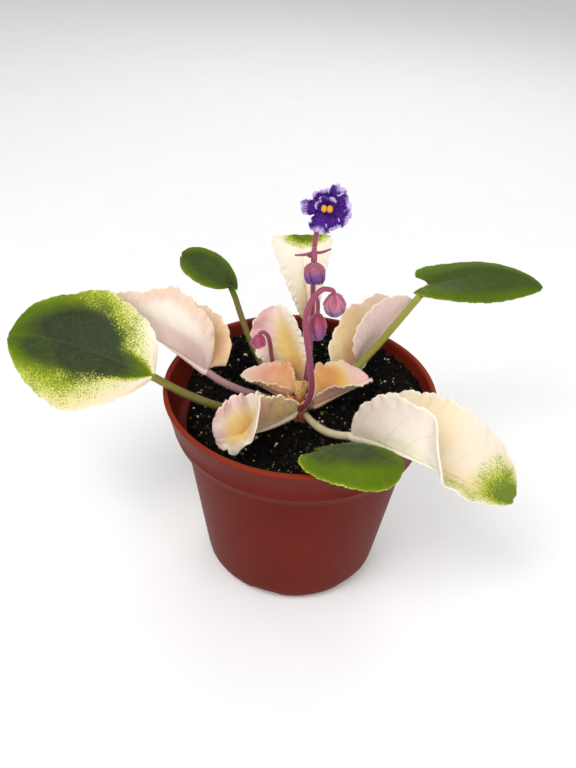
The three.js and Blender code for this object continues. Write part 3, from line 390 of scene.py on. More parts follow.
class VioletSizes(bpy.types.PropertyGroup):
    """Sizes of the plant's fine parts."""

    blade: FloatProperty(name="Blade", description="Thickness of a leaf blade", default=0.8 * MM, **LENGTH)
    quilt: FloatProperty(name="Quilting", description="Height of a leaf's puffs", default=0.2 * MM, **LENGTH)
    hair: FloatProperty(name="Down length", description="Length of a leaf hair", default=0.8 * MM, **LENGTH)
    hair_width: FloatProperty(name="Down width", description="Width of a hair", default=0.06 * MM, **LENGTH)
    hair_density: FloatProperty(name="Down density", description="Hairs per square mm", default=1.6, min=0)
    crumbs: FloatProperty(name="Crumbs", description="Crumbs per square mm of soil", default=0.55, min=0)
    perlite: FloatProperty(name="Perlite", description="Grains per square mm of soil", default=0.03, min=0)
    frill: FloatProperty(name="Frill", description="Height of the petals' frill", default=0.7 * MM, **LENGTH)
    sides: IntProperty(name="Pot sides", description="Facets round the pot", default=192, min=24)


class VioletColours(bpy.types.PropertyGroup):
    """Colours of the pot, the soil and the plant."""

    pot: FloatVectorProperty(name="Pot", description="Moulded pot plastic", default=linear("#5C1A11"), **TINT)
    soil: FloatVectorProperty(name="Soil", description="Moist potting soil",
                              default=linear("#080706"), **TINT)
    perlite: FloatVectorProperty(name="Perlite", description="Perlite grains",
                                 default=linear("#CDBE9C"), **TINT)
    cream: FloatVectorProperty(name="Cream", description="Leaf flesh with no green",
                               default=linear("#E4D6C2"), **TINT)
    pink: FloatVectorProperty(name="Pink", description="Pink leaf flesh", default=linear("#E2BAB6"), **TINT)
    gold: FloatVectorProperty(name="Gold", description="Yellow leaf flesh", default=linear("#DDBB60"), **TINT)
    coral: FloatVectorProperty(name="Coral", description="Coral leaf flesh",
                               default=linear("#CC8450"), **TINT)
    rose: FloatVectorProperty(name="Rose", description="Rosy leaf tips", default=linear("#B85C70"), **TINT)
    green: FloatVectorProperty(name="Green", description="Young green leaf",
                               default=linear("#526A00"), **TINT)
    deep: FloatVectorProperty(name="Deep green", description="Old green leaf",
                              default=linear("#2B3320"), **TINT)
    pale: FloatVectorProperty(name="Pale", description="Bleached leaf margin",
                              default=linear("#F6EEDC"), **TINT)
    stalk: FloatVectorProperty(name="Stalk", description="Flower stalk", default=linear("#94405C"), **TINT)
    stalk_foot: FloatVectorProperty(name="Stalk foot", description="Flower stalk near the crown",
                                    default=linear("#620A2A"), **TINT)
    petal: FloatVectorProperty(name="Petal", description="Middle of a petal",
                               default=linear("#400E74"), **TINT)
    petal_edge: FloatVectorProperty(name="Petal edge", description="Edge of a petal",
                                    default=linear("#CBB8E4"), **TINT)
    anther: FloatVectorProperty(name="Anther", description="Ripe anther", default=linear("#DCA516"), **TINT)


def unit(vectors):
    """Vectors at length 1."""
    return vectors / np.maximum(np.linalg.norm(vectors, axis=-1, keepdims=True), 1e-9)


def smooth(value, low, high):
    """0 below low, 1 above high and smooth between."""
    share = np.clip((value - low) / (high - low), 0, 1)
    return share * share * (3 - 2 * share)


def placed(name, data):
    """A new object in the scene."""
    made = bpy.data.objects.new(name, data)
    bpy.context.scene.collection.objects.link(made)
    return made


def make_object(name, points, faces, materials=(), face_materials=None, uv=None, fields=None):
    """A smooth-shaded mesh object from points in millimetres."""
    mesh = bpy.data.meshes.new(name)
    mesh.from_pydata((np.asarray(points, float) * MM).tolist(), [], [list(face) for face in faces])
    for made in materials:
        mesh.materials.append(made)
    if face_materials is not None:
        mesh.polygons.foreach_set("material_index", np.asarray(face_materials, dtype=np.int32))
    if uv is not None:
        layer = mesh.uv_layers.new(name="UVMap")
        corner = np.empty(len(mesh.loops), dtype=np.int32)
        mesh.loops.foreach_get("vertex_index", corner)
        layer.data.foreach_set("uv", np.asarray(uv, dtype=np.float32)[corner].ravel())
    for field, values in (fields or {}).items():
        attribute = mesh.attributes.new(field, "FLOAT", "POINT")
        attribute.data.foreach_set("value", np.asarray(values, dtype=np.float32))
    mesh.polygons.foreach_set("use_smooth", np.ones(len(mesh.polygons), dtype=bool))
    mesh.update()
    return placed(name, mesh)


def settle(piece, slot, *nodes):
    """Puts a finished piece on the plant's body, in place of its solids. Its slot is not used."""
    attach(piece, BODY)
    if nodes:
        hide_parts(*nodes)
    return piece


def joined(parts):
    """Points, faces and UVs of several meshes as one."""
    faces, first = [], 0
    for part in parts:
        faces += [tuple(first + i for i in face) for face in part[1]]
        first += len(part[0])
    return np.concatenate([part[0] for part in parts]), faces, np.concatenate([part[2] for part in parts])


def ring_faces(rings, count, first=0):
    """Quads between rings of equal count, wound so that they face outwards when the rings climb."""
    faces = []
    for i in range(rings - 1):
        for j in range(count):
            a, b = first + i * count + j, first + i * count + (j + 1) % count
            faces.append((a, b, b + count, a + count))
    return faces


def lathe(profile, count, height=None):
    """Points and faces of a closed turned solid. The profile's first and last points lie on the axis."""
    angle = np.linspace(0, 2 * math.pi, count, endpoint=False)
    points = [(0, 0, profile[0][1])]
    for radius, z in profile[1:-1]:
        rise = height(angle, radius, z) if height else np.full(count, float(z))
        points += list(zip(radius * np.cos(angle), radius * np.sin(angle), rise))
    points.append((0, 0, profile[-1][1]))
    last = len(points) - 1
    rings = len(profile) - 2
    faces = [(0, 1 + (j + 1) % count, 1 + j) for j in range(count)]
    faces += ring_faces(rings, count, 1)
    start = 1 + (rings - 1) * count
    faces += [(last, start + j, start + (j + 1) % count) for j in range(count)]
    return points, faces


def tube(points, radii, sides):
    """Points, faces and UVs of a closed round tube along points."""
    points = np.asarray(points, float)
    ahead = unit(np.gradient(points, axis=0))
    normal = np.array([0.3, 0.2, 1.0])
    angle = np.linspace(0, 2 * math.pi, sides, endpoint=False)[:, None]
    rings = []
    for way, point, radius in zip(ahead, points, radii):
        normal = unit(normal - way * normal.dot(way))
        rings.append(point + radius * (np.cos(angle) * normal + np.sin(angle) * np.cross(way, normal)))
    count = len(points)
    caps = [points[0] - ahead[0] * radii[0] * TUBE_END, points[-1] + ahead[-1] * radii[-1] * TUBE_END]
    foot, peak, start = count * sides, count * sides + 1, (count - 1) * sides
    faces = ring_faces(count, sides)
    faces += [(foot, (j + 1) % sides, j) for j in range(sides)]
    faces += [(peak, start + j, start + (j + 1) % sides) for j in range(sides)]
    lengthwise, round_it = np.meshgrid(np.linspace(0, 1, count), np.linspace(0, 1, sides), indexing="ij")
    place = np.stack([lengthwise.ravel(), round_it.ravel()], axis=1)
    return np.concatenate([*rings, caps]), faces, np.concatenate([place, [(0, 0.5), (1, 0.5)]])


def bezier(ends, t):
    """Points on a cubic curve with those four control points."""
    a, b, c, d = (np.asarray(end, float) for end in ends)
    t = np.atleast_1d(t)[:, None]
    return a * (1 - t) ** 3 + 3 * b * (1 - t) ** 2 * t + 3 * c * (1 - t) * t ** 2 + d * t ** 3


def bezier_way(ends, t):
    """Directions along that curve."""
    a, b, c, d = (np.asarray(end, float) for end in ends)
    t = np.atleast_1d(t)[:, None]
    return unit((b - a) * (1 - t) ** 2 + 2 * (c - b) * (1 - t) * t + (d - c) * t ** 2)


def smooth_path(path, steps):
    """Even steps on a centripetal spline through points."""
    path = np.asarray(path, float)
    ends = np.concatenate([[2 * path[0] - path[1]], path, [2 * path[-1] - path[-2]]])
    made = []
    for place in np.linspace(0, len(path) - 1, steps + 1):
        i = min(int(place), len(path) - 2)
        share = place - i
        a, b, c, d = ends[i:i + 4]
        gap = [max(np.linalg.norm(q - p) ** 0.5, 1e-4) for p, q in ((a, b), (b, c), (c, d))]
        start = ((b - a) / gap[0] - (c - a) / (gap[0] + gap[1]) + (c - b) / gap[1]) * gap[1]
        end = ((c - b) / gap[1] - (d - b) / (gap[1] + gap[2]) + (d - c) / gap[2]) * gap[1]
        made.append(
            b * (2 * share ** 3 - 3 * share ** 2 + 1) + start * (share ** 3 - 2 * share ** 2 + share)
            + c * (3 * share ** 2 - 2 * share ** 3) + end * (share ** 3 - share ** 2)
        )
    return np.array(made)


def along(value, t):
    """A value given once, or at even steps from base to tip: a longer list eases from each to the next."""
    if np.isscalar(value):
        return np.full_like(t, float(value))
    place = t * (len(value) - 1)
    if len(value) > 3:
        given = np.asarray(value, float)
        before = np.minimum(place.astype(int), len(value) - 2)
        return given[before] + (given[before + 1] - given[before]) * smooth(place - before, 0, 1)
    total = np.zeros_like(t)
    for i, given in enumerate(value):
        weight = np.ones_like(t)
        for k in range(len(value)):
            if k != i:
                weight = weight * (place - k) / (i - k)
        total += given * weight
    return total


def upward(face, t, ahead):
    """The way that a blade's upper side faces at each place along it, square to its midrib."""
    up = np.outer(1 - t, face[0]) + np.outer(t, face[1])
    return unit(up - ahead * np.sum(up * ahead, axis=1, keepdims=True))


def scallops(count, depth, even):
    """How far a margin's scallops reach at each place along it, at most 1."""
    return 1 - depth * (1 - np.abs(np.sin(math.pi * count * even)))


def fullness(half, t):
    """How wide half a blade is at each place along it, as a share of its width."""
    behind = t < half["wide"]
    share = np.where(behind, (half["wide"] - t) / half["wide"], (t - half["wide"]) / (1 - half["wide"]))
    full = np.where(behind, half["base"], half["tip"])
    return np.maximum(0, 1 - share ** full) ** (1 / full)


def cross_curve(half, t, s):
    """How far out and up half a blade has gone at a share of its width, folded and curled."""
    out, rise = np.zeros_like(t), np.zeros_like(t)
    fold, curl = along(half["fold"], t), along(half.get("curl", 0), t)
    for i in range(BLADE["steps"]):
        place = s * (i + 0.5) / BLADE["steps"]
        angle = np.radians(fold + curl * place ** BLADE["curl_late"])
        out += s * np.cos(angle) / BLADE["steps"]
        rise += s * np.sin(angle) / BLADE["steps"]
    return out, rise


def middle_surface(leaf, rows, columns):
    """The middle surface of a blade, with its places along and across as two more grids."""
    ends = (leaf["base"], *leaf["rib"], leaf["tip"])
    even = np.linspace(0, 1, rows + 1)
    eased = 0.5 * even + 0.25 * (1 - np.cos(math.pi * even))
    t = BLADE["end"] + (1 - 2 * BLADE["end"]) * eased
    centre, ahead = bezier(ends, t), bezier_way(ends, t)
    up = upward(leaf["face"], t, ahead)
    right = np.cross(ahead, up)
    scallop = scallops(leaf["teeth"], leaf["bite"], even)
    crenate = scallops(leaf["crenate"], BLADE["crenate"], even)
    surface = np.empty((rows + 1, 2 * columns + 1, 3))
    for j in range(-columns, columns + 1):
        half = leaf["left"] if j < 0 else leaf["right"]
        s = abs(j) / columns
        # Small scallops show only at the margin, ruffles grow towards it, and lobes reach back at the base.
        wide = fullness(half, t)
        reach = along(half["width"], t) * wide * (1 + (scallop - 1) * s) * (1 + (crenate - 1) * s ** 6)
        out, rise = cross_curve(half, t, s)
        height, count, start = half.get("ruffle", (0, 0, 0))
        wave = height * s * s * np.sin(2 * math.pi * count * t + start) * np.minimum(1, 1.5 * wide)
        lobe = half.get("lobe", 0) * s ** 1.5 * (1 - t) ** 4
        surface[:, j + columns] = (
            centre + right * (np.sign(j) * reach * out)[:, None] + up * (reach * rise + wave)[:, None]
            - ahead * lobe[:, None]
        )
    return surface, *np.meshgrid(t, np.linspace(-1, 1, 2 * columns + 1), indexing="ij")


def surface_normals(surface):
    """Normals of a grid of points, towards the blade's upper side."""
    lengthwise = np.gradient(surface, axis=0)
    crosswise = np.gradient(surface, axis=1)
    return unit(np.cross(crosswise, lengthwise))


def thin_blade(surface, t, s, thickness):
    """Points, faces, UVs and the under mask of a closed blade with a rounded margin."""
    rows, columns = surface.shape[:2]
    normal = surface_normals(surface)
    thick = thickness / MM * (1 - BLADE["thin"] * smooth(np.abs(s), 0.75, 1.0)) / 2
    top = (surface + normal * thick[..., None]).reshape(-1, 3)
    under = (surface - normal * thick[..., None]).reshape(-1, 3)
    index = np.arange(rows * columns).reshape(rows, columns)
    border = np.concatenate([index[0, :-1], index[:-1, -1], index[-1, :0:-1], index[:0:-1, 0]])
    inward = np.concatenate([index[1, :-1], index[:-1, -2], index[-2, :0:-1], index[:0:-1, 1]])
    flat = surface.reshape(-1, 3)
    rim = flat[border] + unit(flat[border] - flat[inward]) * thick.reshape(-1)[border][:, None] * 0.5
    count = rows * columns
    points = np.concatenate([top, under, rim])
    corners = index[:-1, :-1], index[:-1, 1:], index[1:, 1:], index[1:, :-1]
    quads = np.stack([corner.ravel() for corner in corners], axis=1)
    faces = quads.tolist() + (quads[:, ::-1] + count).tolist()
    ring = len(border)
    for k in range(ring):
        m = (k + 1) % ring
        edge, onward = 2 * count + k, 2 * count + m
        faces.append((border[k], edge, onward, border[m]))
        faces.append((edge, border[k] + count, border[m] + count, onward))
    place = np.stack([t.ravel(), 0.5 + 0.5 * s.ravel()], axis=1)
    uv = np.concatenate([place, place, place[border]])
    side = np.concatenate([np.zeros(count), np.ones(count), np.full(ring, 0.5)])
    return points, faces, uv, side


def add(tree, kind, inputs=(), **settings):
    """Adds a node with its settings. Its inputs take a value each, or the node or output that feeds them."""
    node = tree.nodes.new(kind)
    for name, value in settings.items():
        setattr(node, name, value)
    for place, value in dict(inputs).items():
        if isinstance(value, bpy.types.Node):
            value = next(output for output in value.outputs if output.enabled)
        if isinstance(value, bpy.types.NodeSocket):
            tree.links.new(value, node.inputs[place])
        else:
            node.inputs[place].default_value = value
    return node


def new_material(name):
    """A node material, its empty tree and the object coordinates in it."""
    made = bpy.data.materials.new(name)
    made.use_nodes = True
    tree = made.node_tree
    tree.nodes.clear()
    return made, tree, add(tree, "ShaderNodeTexCoord").outputs["Object"]


def finish_material(made, tree, inputs):
    """Ends a material in its surface shader."""
    shader = add(tree, "ShaderNodeBsdfPrincipled", inputs)
    add(tree, "ShaderNodeOutputMaterial", {"Surface": shader})
    return made


def leaf_veins(tree):
    """Lateral veins that leave the midrib forwards, each about 1 mm wide, and the midrib."""
    split = add(tree, "ShaderNodeSeparateXYZ", {0: add(tree, "ShaderNodeUVMap", uv_map="UVMap")}).outputs
    side = add(tree, "ShaderNodeMath", {0: split["Y"], 1: 2, 2: -1}, operation="MULTIPLY_ADD")
    across = add(tree, "ShaderNodeMath", {0: side}, operation="ABSOLUTE")
    swept = add(tree, "ShaderNodeMath", {0: across, 1: -VEINS["sweep"], 2: split["X"]},
                operation="MULTIPLY_ADD")
    step = add(tree, "ShaderNodeMath", {0: swept, 1: VEINS["pairs"]}, operation="MULTIPLY")
    away = add(tree, "ShaderNodeMath", {0: step, 1: 0.5}, operation="PINGPONG")
    vein = add(tree, "ShaderNodeMapRange", {"Value": away, "From Max": 0.07, "To Min": 1.0, "To Max": 0.0},
               interpolation_type="SMOOTHSTEP")
    fade = add(tree, "ShaderNodeMapRange", {
        "Value": across, "From Min": 0.3, "From Max": 0.95, "To Min": 1.0, "To Max": 0.25,
    })
    midrib = add(tree, "ShaderNodeMapRange", {
        "Value": across, "From Min": 0.01, "From Max": 0.04, "To Min": 1.0, "To Max": 0.0,
    }, interpolation_type="SMOOTHSTEP")
    faded = add(tree, "ShaderNodeMath", {0: vein, 1: fade}, operation="MULTIPLY")
    return add(tree, "ShaderNodeMath", {0: faded, 1: midrib}, operation="MAXIMUM")


def leaf_flesh(name, colours):
    """Living leaf: watery flesh that light sinks into, a little dulled by its coat of fine down."""
    made, tree, place = new_material(name)
    field = {kind: add(tree, "ShaderNodeAttribute", attribute_name=kind).outputs["Fac"] for kind in FIELDS}
    # Chlorophyll breaks up into specks about 0.3 mm wide where green meets cream.
    speck = add(tree, "ShaderNodeTexNoise", {"Vector": place, "Scale": 2100, "Detail": 3, "Roughness": 0.7})
    cloud = add(tree, "ShaderNodeTexNoise", {"Vector": place, "Scale": 170, "Detail": 3})
    drift = add(tree, "ShaderNodeMath", {0: speck, 1: 2.6, 2: -1.3}, operation="MULTIPLY_ADD")
    clump = add(tree, "ShaderNodeMath", {0: cloud, 1: 0.8, 2: -0.4}, operation="MULTIPLY_ADD")
    stir = add(tree, "ShaderNodeMath", {0: drift, 1: clump}, operation="ADD")
    begun = add(tree, "ShaderNodeMapRange", {"Value": field["green"], "From Max": 0.2})
    unfilled = add(tree, "ShaderNodeMapRange", {
        "Value": field["green"], "From Min": 0.75, "To Min": 1.0, "To Max": 0.15,
    })
    border = add(tree, "ShaderNodeMath", {0: begun, 1: unfilled}, operation="MULTIPLY")
    torn = add(tree, "ShaderNodeMath", {0: stir, 1: border}, operation="MULTIPLY")
    amount = add(tree, "ShaderNodeMath", {0: field["green"], 1: torn}, operation="ADD")
    green = add(tree, "ShaderNodeMapRange", {"Value": amount, "From Min": 0.4, "From Max": 0.56},
                interpolation_type="SMOOTHSTEP")
    # Cream flesh, tinted in turn by each patch, which is a little uneven.
    uneven = add(tree, "ShaderNodeMath", {0: clump, 1: 0.8, 2: 1.0}, operation="MULTIPLY_ADD")
    layers = [
        (add(tree, "ShaderNodeMath", {0: field[kind], 1: uneven}, operation="MULTIPLY", use_clamp=True),
         getattr(colours, kind))
        for kind in ("gold", "pink", "coral", "rose", "pale")
    ]
    # The underside is paler, because its flesh is spongy and full of air, and its veins show darker.
    veins = leaf_veins(tree)
    spongy = add(tree, "ShaderNodeMath", {0: field["under"], 1: 0.2}, operation="MULTIPLY")
    sunken = add(tree, "ShaderNodeMath", {0: field["under"], 1: 0.08, 2: 0.04}, operation="MULTIPLY_ADD")
    drawn = add(tree, "ShaderNodeMath", {0: sunken, 1: veins}, operation="MULTIPLY")
    # A yellow-green wash lies under the specks.
    wash = add(tree, "ShaderNodeMapRange", {
        "Value": field["green"], "From Min": 0.06, "From Max": 0.6, "To Max": 0.9,
    })
    # Green goes from fresh at its border to old and dark, with paler veins.
    shade = add(tree, "ShaderNodeMath", {0: stir, 1: 0.5, 2: field["deep"]}, operation="MULTIPLY_ADD",
                use_clamp=True)
    ripe = add(tree, "ShaderNodeMapRange", {"Value": field["green"], "From Min": 0.5, "From Max": 0.95})
    pale_vein = add(tree, "ShaderNodeMath", {0: veins, 1: 0.035}, operation="MULTIPLY")
    leaf_green = linear("#849414")
    for share, over in ((ripe, colours.green), (shade, colours.deep), (pale_vein, linear("#8C9A3E"))):
        leaf_green = add(tree, "ShaderNodeMix", {0: share, 6: leaf_green, 7: over}, data_type="RGBA")
    layers += [(spongy, linear("#F4E4DE")), (drawn, linear("#A87870")), (wash, linear("#C2C838")),
               (green, leaf_green)]
    colour = colours.cream
    for share, over in layers:
        colour = add(tree, "ShaderNodeMix", {0: share, 6: colour, 7: over}, data_type="RGBA")
    # Pebbled skin: cells about 0.8 mm across, with the veins sunk between them.
    cell = add(tree, "ShaderNodeTexVoronoi", {"Vector": place, "Scale": 1250}, feature="SMOOTH_F1")
    sunk = add(tree, "ShaderNodeMath", {0: veins, 1: -1.5, 2: cell}, operation="MULTIPLY_ADD")
    bump = add(tree, "ShaderNodeBump", {"Height": sunk, "Strength": 0.15, "Distance": 0.25 * MM})
    return finish_material(made, tree, {
        "Base Color": colour, "Normal": bump, "Roughness": 0.5, "IOR": 1.4, "Specular IOR Level": 0.15,
        "Sheen Weight": 0.02, "Sheen Roughness": 0.45, "Subsurface Weight": 0.12,
        "Subsurface Radius": (1.0, 0.7, 0.35), "Subsurface Scale": 1.2 * MM,
    })


def fleshy_stalk(name, light, dark):
    """Leaf stalk: a juicy round stem, streaked along its length and darker at its root; in the rose stalks of
    the middle leaves that dark root is painted shade.
    """
    made, tree, place = new_material(name)
    split = add(tree, "ShaderNodeSeparateXYZ", {0: add(tree, "ShaderNodeUVMap", uv_map="UVMap")}).outputs
    streak = add(tree, "ShaderNodeTexNoise", {"Vector": place, "Scale": 500, "Detail": 3})
    # The root end takes the dark colour, which for the rose stalks of the middle leaves is painted shade.
    root = add(tree, "ShaderNodeMapRange", {
        "Value": split["X"], "From Max": 0.5, "To Min": 0.9, "To Max": 0.1,
    })
    mixed = add(tree, "ShaderNodeMath", {0: streak, 1: root}, operation="MULTIPLY", use_clamp=True)
    colour = add(tree, "ShaderNodeMix", {0: mixed, 6: light, 7: dark}, data_type="RGBA")
    bump = add(tree, "ShaderNodeBump", {"Height": streak, "Strength": 0.2, "Distance": 0.1 * MM})
    return finish_material(made, tree, {
        "Base Color": colour, "Normal": bump, "Roughness": 0.45, "IOR": 1.4, "Specular IOR Level": 0.3,
        "Sheen Weight": 0.08, "Sheen Roughness": 0.4, "Subsurface Weight": 0.15,
        "Subsurface Radius": (1.0, 0.6, 0.3), "Subsurface Scale": 1.0 * MM,
    })


def clear_hair(name, tint):
    """Plant down: glassy single-cell hairs that catch the light."""
    made, tree, place = new_material(name)
    noise = add(tree, "ShaderNodeTexNoise", {"Vector": place, "Scale": 300})
    colour = add(tree, "ShaderNodeMix", {0: noise, 6: tint, 7: (0.9, 0.88, 0.82, 1)}, data_type="RGBA")
    return finish_material(made, tree, {"Base Color": colour, "Roughness": 0.35, "IOR": 1.4, "Alpha": 0.3})


def bud_skin(name, top, tip):
    """Closed petals: downy skin that goes from the sepals' pink to the petal's violet, with painted shade
    along the folds.
    """
    made, tree, place = new_material(name)
    split = add(tree, "ShaderNodeSeparateXYZ", {0: add(tree, "ShaderNodeUVMap", uv_map="UVMap")}).outputs
    noise = add(tree, "ShaderNodeTexNoise", {"Vector": place, "Scale": 700, "Detail": 4})
    stir = add(tree, "ShaderNodeMath", {0: noise, 1: 0.5, 2: split["X"]}, operation="MULTIPLY_ADD")
    share = add(tree, "ShaderNodeMapRange", {"Value": stir, "From Min": 0.55, "From Max": 1.05},
                interpolation_type="SMOOTHSTEP")
    # Each of the five petals overlaps the next along a fold, where shade is painted in dark violet, more
    # strongly towards the bud's end.
    lean = add(tree, "ShaderNodeMath", {0: split["X"], 1: BUD_WRAP["twist"]}, operation="MULTIPLY")
    turn = add(tree, "ShaderNodeMath", {0: split["Y"], 1: BUD_WRAP["petals"], 2: lean},
               operation="MULTIPLY_ADD")
    wrap = add(tree, "ShaderNodeMath", {0: turn}, operation="FRACT")
    fold = add(tree, "ShaderNodeMapRange", {"Value": wrap, "From Min": 0.7, "From Max": 0.95, "To Max": 0.9},
               interpolation_type="SMOOTHSTEP")
    shade = add(tree, "ShaderNodeMath", {0: fold, 1: split["X"]}, operation="MULTIPLY", use_clamp=True)
    colour = top
    for amount, over in ((share, tip), (shade, linear("#3C1650"))):
        colour = add(tree, "ShaderNodeMix", {0: amount, 6: colour, 7: over}, data_type="RGBA")
    bump = add(tree, "ShaderNodeBump", {"Height": noise, "Strength": 0.3, "Distance": 0.15 * MM})
    return finish_material(made, tree, {
        "Base Color": colour, "Normal": bump, "Roughness": 0.5, "IOR": 1.4, "Sheen Weight": 0.06,
        "Sheen Roughness": 0.4, "Subsurface Weight": 0.12, "Subsurface Radius": (1.0, 0.5, 0.5),
        "Subsurface Scale": 0.8 * MM,
    })


def petal_velvet(name, colours):
    """Open petal: velvety cells that glow violet, paling to lilac in streaks at the frilled edge."""
    made, tree, place = new_material(name)
    split = add(tree, "ShaderNodeSeparateXYZ", {0: add(tree, "ShaderNodeUVMap", uv_map="UVMap")}).outputs
    side = add(tree, "ShaderNodeMath", {0: split["Y"], 1: 2, 2: -1}, operation="MULTIPLY_ADD")
    across = add(tree, "ShaderNodeMath", {0: side}, operation="ABSOLUTE")
    open_part = add(tree, "ShaderNodeMapRange", {"Value": split["X"], "From Min": 0.3, "From Max": 0.65})
    rim = add(tree, "ShaderNodeMath", {0: across, 1: open_part}, operation="MULTIPLY")
    far = add(tree, "ShaderNodeMath", {0: rim, 1: split["X"]}, operation="MAXIMUM")
    streak = add(tree, "ShaderNodeTexNoise", {"Vector": place, "Scale": 300, "Detail": 5, "Roughness": 0.6})
    stir = add(tree, "ShaderNodeMath", {0: streak, 1: 0.75, 2: far}, operation="MULTIPLY_ADD")
    edge = add(tree, "ShaderNodeMapRange", {"Value": stir, "From Min": 1.14, "From Max": 1.42},
               interpolation_type="SMOOTHSTEP")
    heart = add(tree, "ShaderNodeMapRange", {
        "Value": split["X"], "From Min": 0.02, "From Max": 0.3, "To Min": 0.7, "To Max": 0.0,
    })
    colour = colours.petal
    for amount, over in ((heart, linear("#1B0642")), (edge, colours.petal_edge)):
        colour = add(tree, "ShaderNodeMix", {0: amount, 6: colour, 7: over}, data_type="RGBA")
    bump = add(tree, "ShaderNodeBump", {"Height": streak, "Strength": 0.3, "Distance": 0.15 * MM})
    return finish_material(made, tree, {
        "Base Color": colour, "Normal": bump, "Roughness": 0.55, "IOR": 1.4, "Specular IOR Level": 0.25,
        "Sheen Weight": 0.06, "Sheen Roughness": 0.35, "Subsurface Weight": 0.1,
        "Subsurface Radius": (0.6, 0.4, 1.0), "Subsurface Scale": 0.6 * MM,
    })


def flower_stem(name, colours):
    """Flower stalk: a juicy magenta stem, darker towards the crown, under a dense down."""
    made, tree, place = new_material(name)
    split = add(tree, "ShaderNodeSeparateXYZ", {0: place}).outputs
    noise = add(tree, "ShaderNodeTexNoise", {"Vector": place, "Scale": 600, "Detail": 3})
    height = add(tree, "ShaderNodeMapRange", {"Value": split["Z"], "From Min": 0.074, "From Max": 0.108})
    stir = add(tree, "ShaderNodeMath", {0: noise, 1: 0.4, 2: height}, operation="MULTIPLY_ADD",
               use_clamp=True)
    colour = add(tree, "ShaderNodeMix", {0: stir, 6: colours.stalk_foot, 7: colours.stalk}, data_type="RGBA")
    bump = add(tree, "ShaderNodeBump", {"Height": noise, "Strength": 0.25, "Distance": 0.1 * MM})
    return finish_material(made, tree, {
        "Base Color": colour, "Normal": bump, "Roughness": 0.42, "IOR": 1.4, "Sheen Weight": 0.12,
        "Sheen Roughness": 0.4, "Subsurface Weight": 0.12, "Subsurface Radius": (1.0, 0.4, 0.4),
        "Subsurface Scale": 0.9 * MM,
    })


def pot_plastic(name, colours):
    """Injection-moulded polypropylene: a satin skin with a faint pebble, with a painted glow of light along
    the top of its thin lip.
    """
    made, tree, place = new_material(name)
    split = add(tree, "ShaderNodeSeparateXYZ", {0: place}).outputs
    cloud = add(tree, "ShaderNodeTexNoise", {"Vector": place, "Scale": 45, "Detail": 3})
    pebble = add(tree, "ShaderNodeTexNoise", {"Vector": place, "Scale": 1600, "Detail": 2})
    uneven = add(tree, "ShaderNodeMapRange", {
        "Value": cloud, "From Min": 0.3, "From Max": 0.7, "To Max": 0.16,
    })
    # Painted glow: the top 2 mm of the lip are mixed towards a paler orange-red, as if light shone through
    # the thin plastic.
    lip = add(tree, "ShaderNodeMapRange", {
        "Value": split["Z"], "From Min": (POT["height"] - 2) * MM, "From Max": POT["height"] * MM,
        "To Max": 0.35,
    }, interpolation_type="SMOOTHSTEP")
    colour = colours.pot
    for amount, over in ((uneven, linear("#80301F")), (lip, linear("#A43C22"))):
        colour = add(tree, "ShaderNodeMix", {0: amount, 6: colour, 7: over}, data_type="RGBA")
    rough = add(tree, "ShaderNodeMapRange", {"Value": cloud, "To Min": 0.36, "To Max": 0.5})
    bump = add(tree, "ShaderNodeBump", {"Height": pebble, "Strength": 0.08, "Distance": 0.08 * MM})
    return finish_material(made, tree, {
        "Base Color": colour, "Normal": bump, "Roughness": rough, "IOR": 1.49, "Specular IOR Level": 0.05,
        "Subsurface Weight": 0.05, "Subsurface Radius": (1.0, 0.3, 0.2), "Subsurface Scale": 1.5 * MM,
    })


def potting_soil(name, colour, pale):
    """Peat and coir: matt dark crumbs, moist in places, with paler fibres."""
    made, tree, place = new_material(name)
    grit = add(tree, "ShaderNodeTexNoise", {"Vector": place, "Scale": 900, "Detail": 5, "Roughness": 0.7})
    damp = add(tree, "ShaderNodeTexNoise", {"Vector": place, "Scale": 140, "Detail": 2})
    share = add(tree, "ShaderNodeMapRange", {"Value": grit, "From Min": 0.5, "From Max": 0.8})
    mixed = add(tree, "ShaderNodeMix", {0: share, 6: colour, 7: pale}, data_type="RGBA")
    rough = add(tree, "ShaderNodeMapRange", {"Value": damp, "To Min": 0.6, "To Max": 1.0})
    bump = add(tree, "ShaderNodeBump", {"Height": grit, "Strength": 0.7, "Distance": 0.5 * MM})
    return finish_material(made, tree, {
        "Base Color": mixed, "Normal": bump, "Roughness": rough, "Specular IOR Level": 0.12,
    })


def pollen(name, colours):
    """Ripe anther: matt golden skin dusted with pollen."""
    made, tree, place = new_material(name)
    dust = add(tree, "ShaderNodeTexNoise", {"Vector": place, "Scale": 2600, "Detail": 3})
    colour = add(tree, "ShaderNodeMix", {0: dust, 6: colours.anther, 7: linear("#B87A12")}, data_type="RGBA")
    bump = add(tree, "ShaderNodeBump", {"Height": dust, "Strength": 0.4, "Distance": 0.1 * MM})
    return finish_material(made, tree, {"Base Color": colour, "Normal": bump, "Roughness": 0.7})


def node_tree(name, inputs):
    """A geometry tree that takes a surface and its named inputs, and the outputs of its input node."""
    tree = bpy.data.node_groups.new(name, "GeometryNodeTree")
    tree.interface.new_socket("Geometry", in_out="INPUT", socket_type="NodeSocketGeometry")
    for label, (kind, default) in inputs.items():
        socket = tree.interface.new_socket(label, in_out="INPUT", socket_type=f"NodeSocket{kind}")
        if default is not None:
            socket.default_value = default
    tree.interface.new_socket("Geometry", in_out="OUTPUT", socket_type="NodeSocketGeometry")
    return tree, add(tree, "NodeGroupInput").outputs


def end_tree(tree, geometry, material):
    """Ends a tree in real geometry with its material."""
    real = add(tree, "GeometryNodeRealizeInstances", {"Geometry": geometry})
    dressed = add(tree, "GeometryNodeSetMaterial", {"Geometry": real, "Material": material})
    add(tree, "NodeGroupOutput", {"Geometry": dressed})


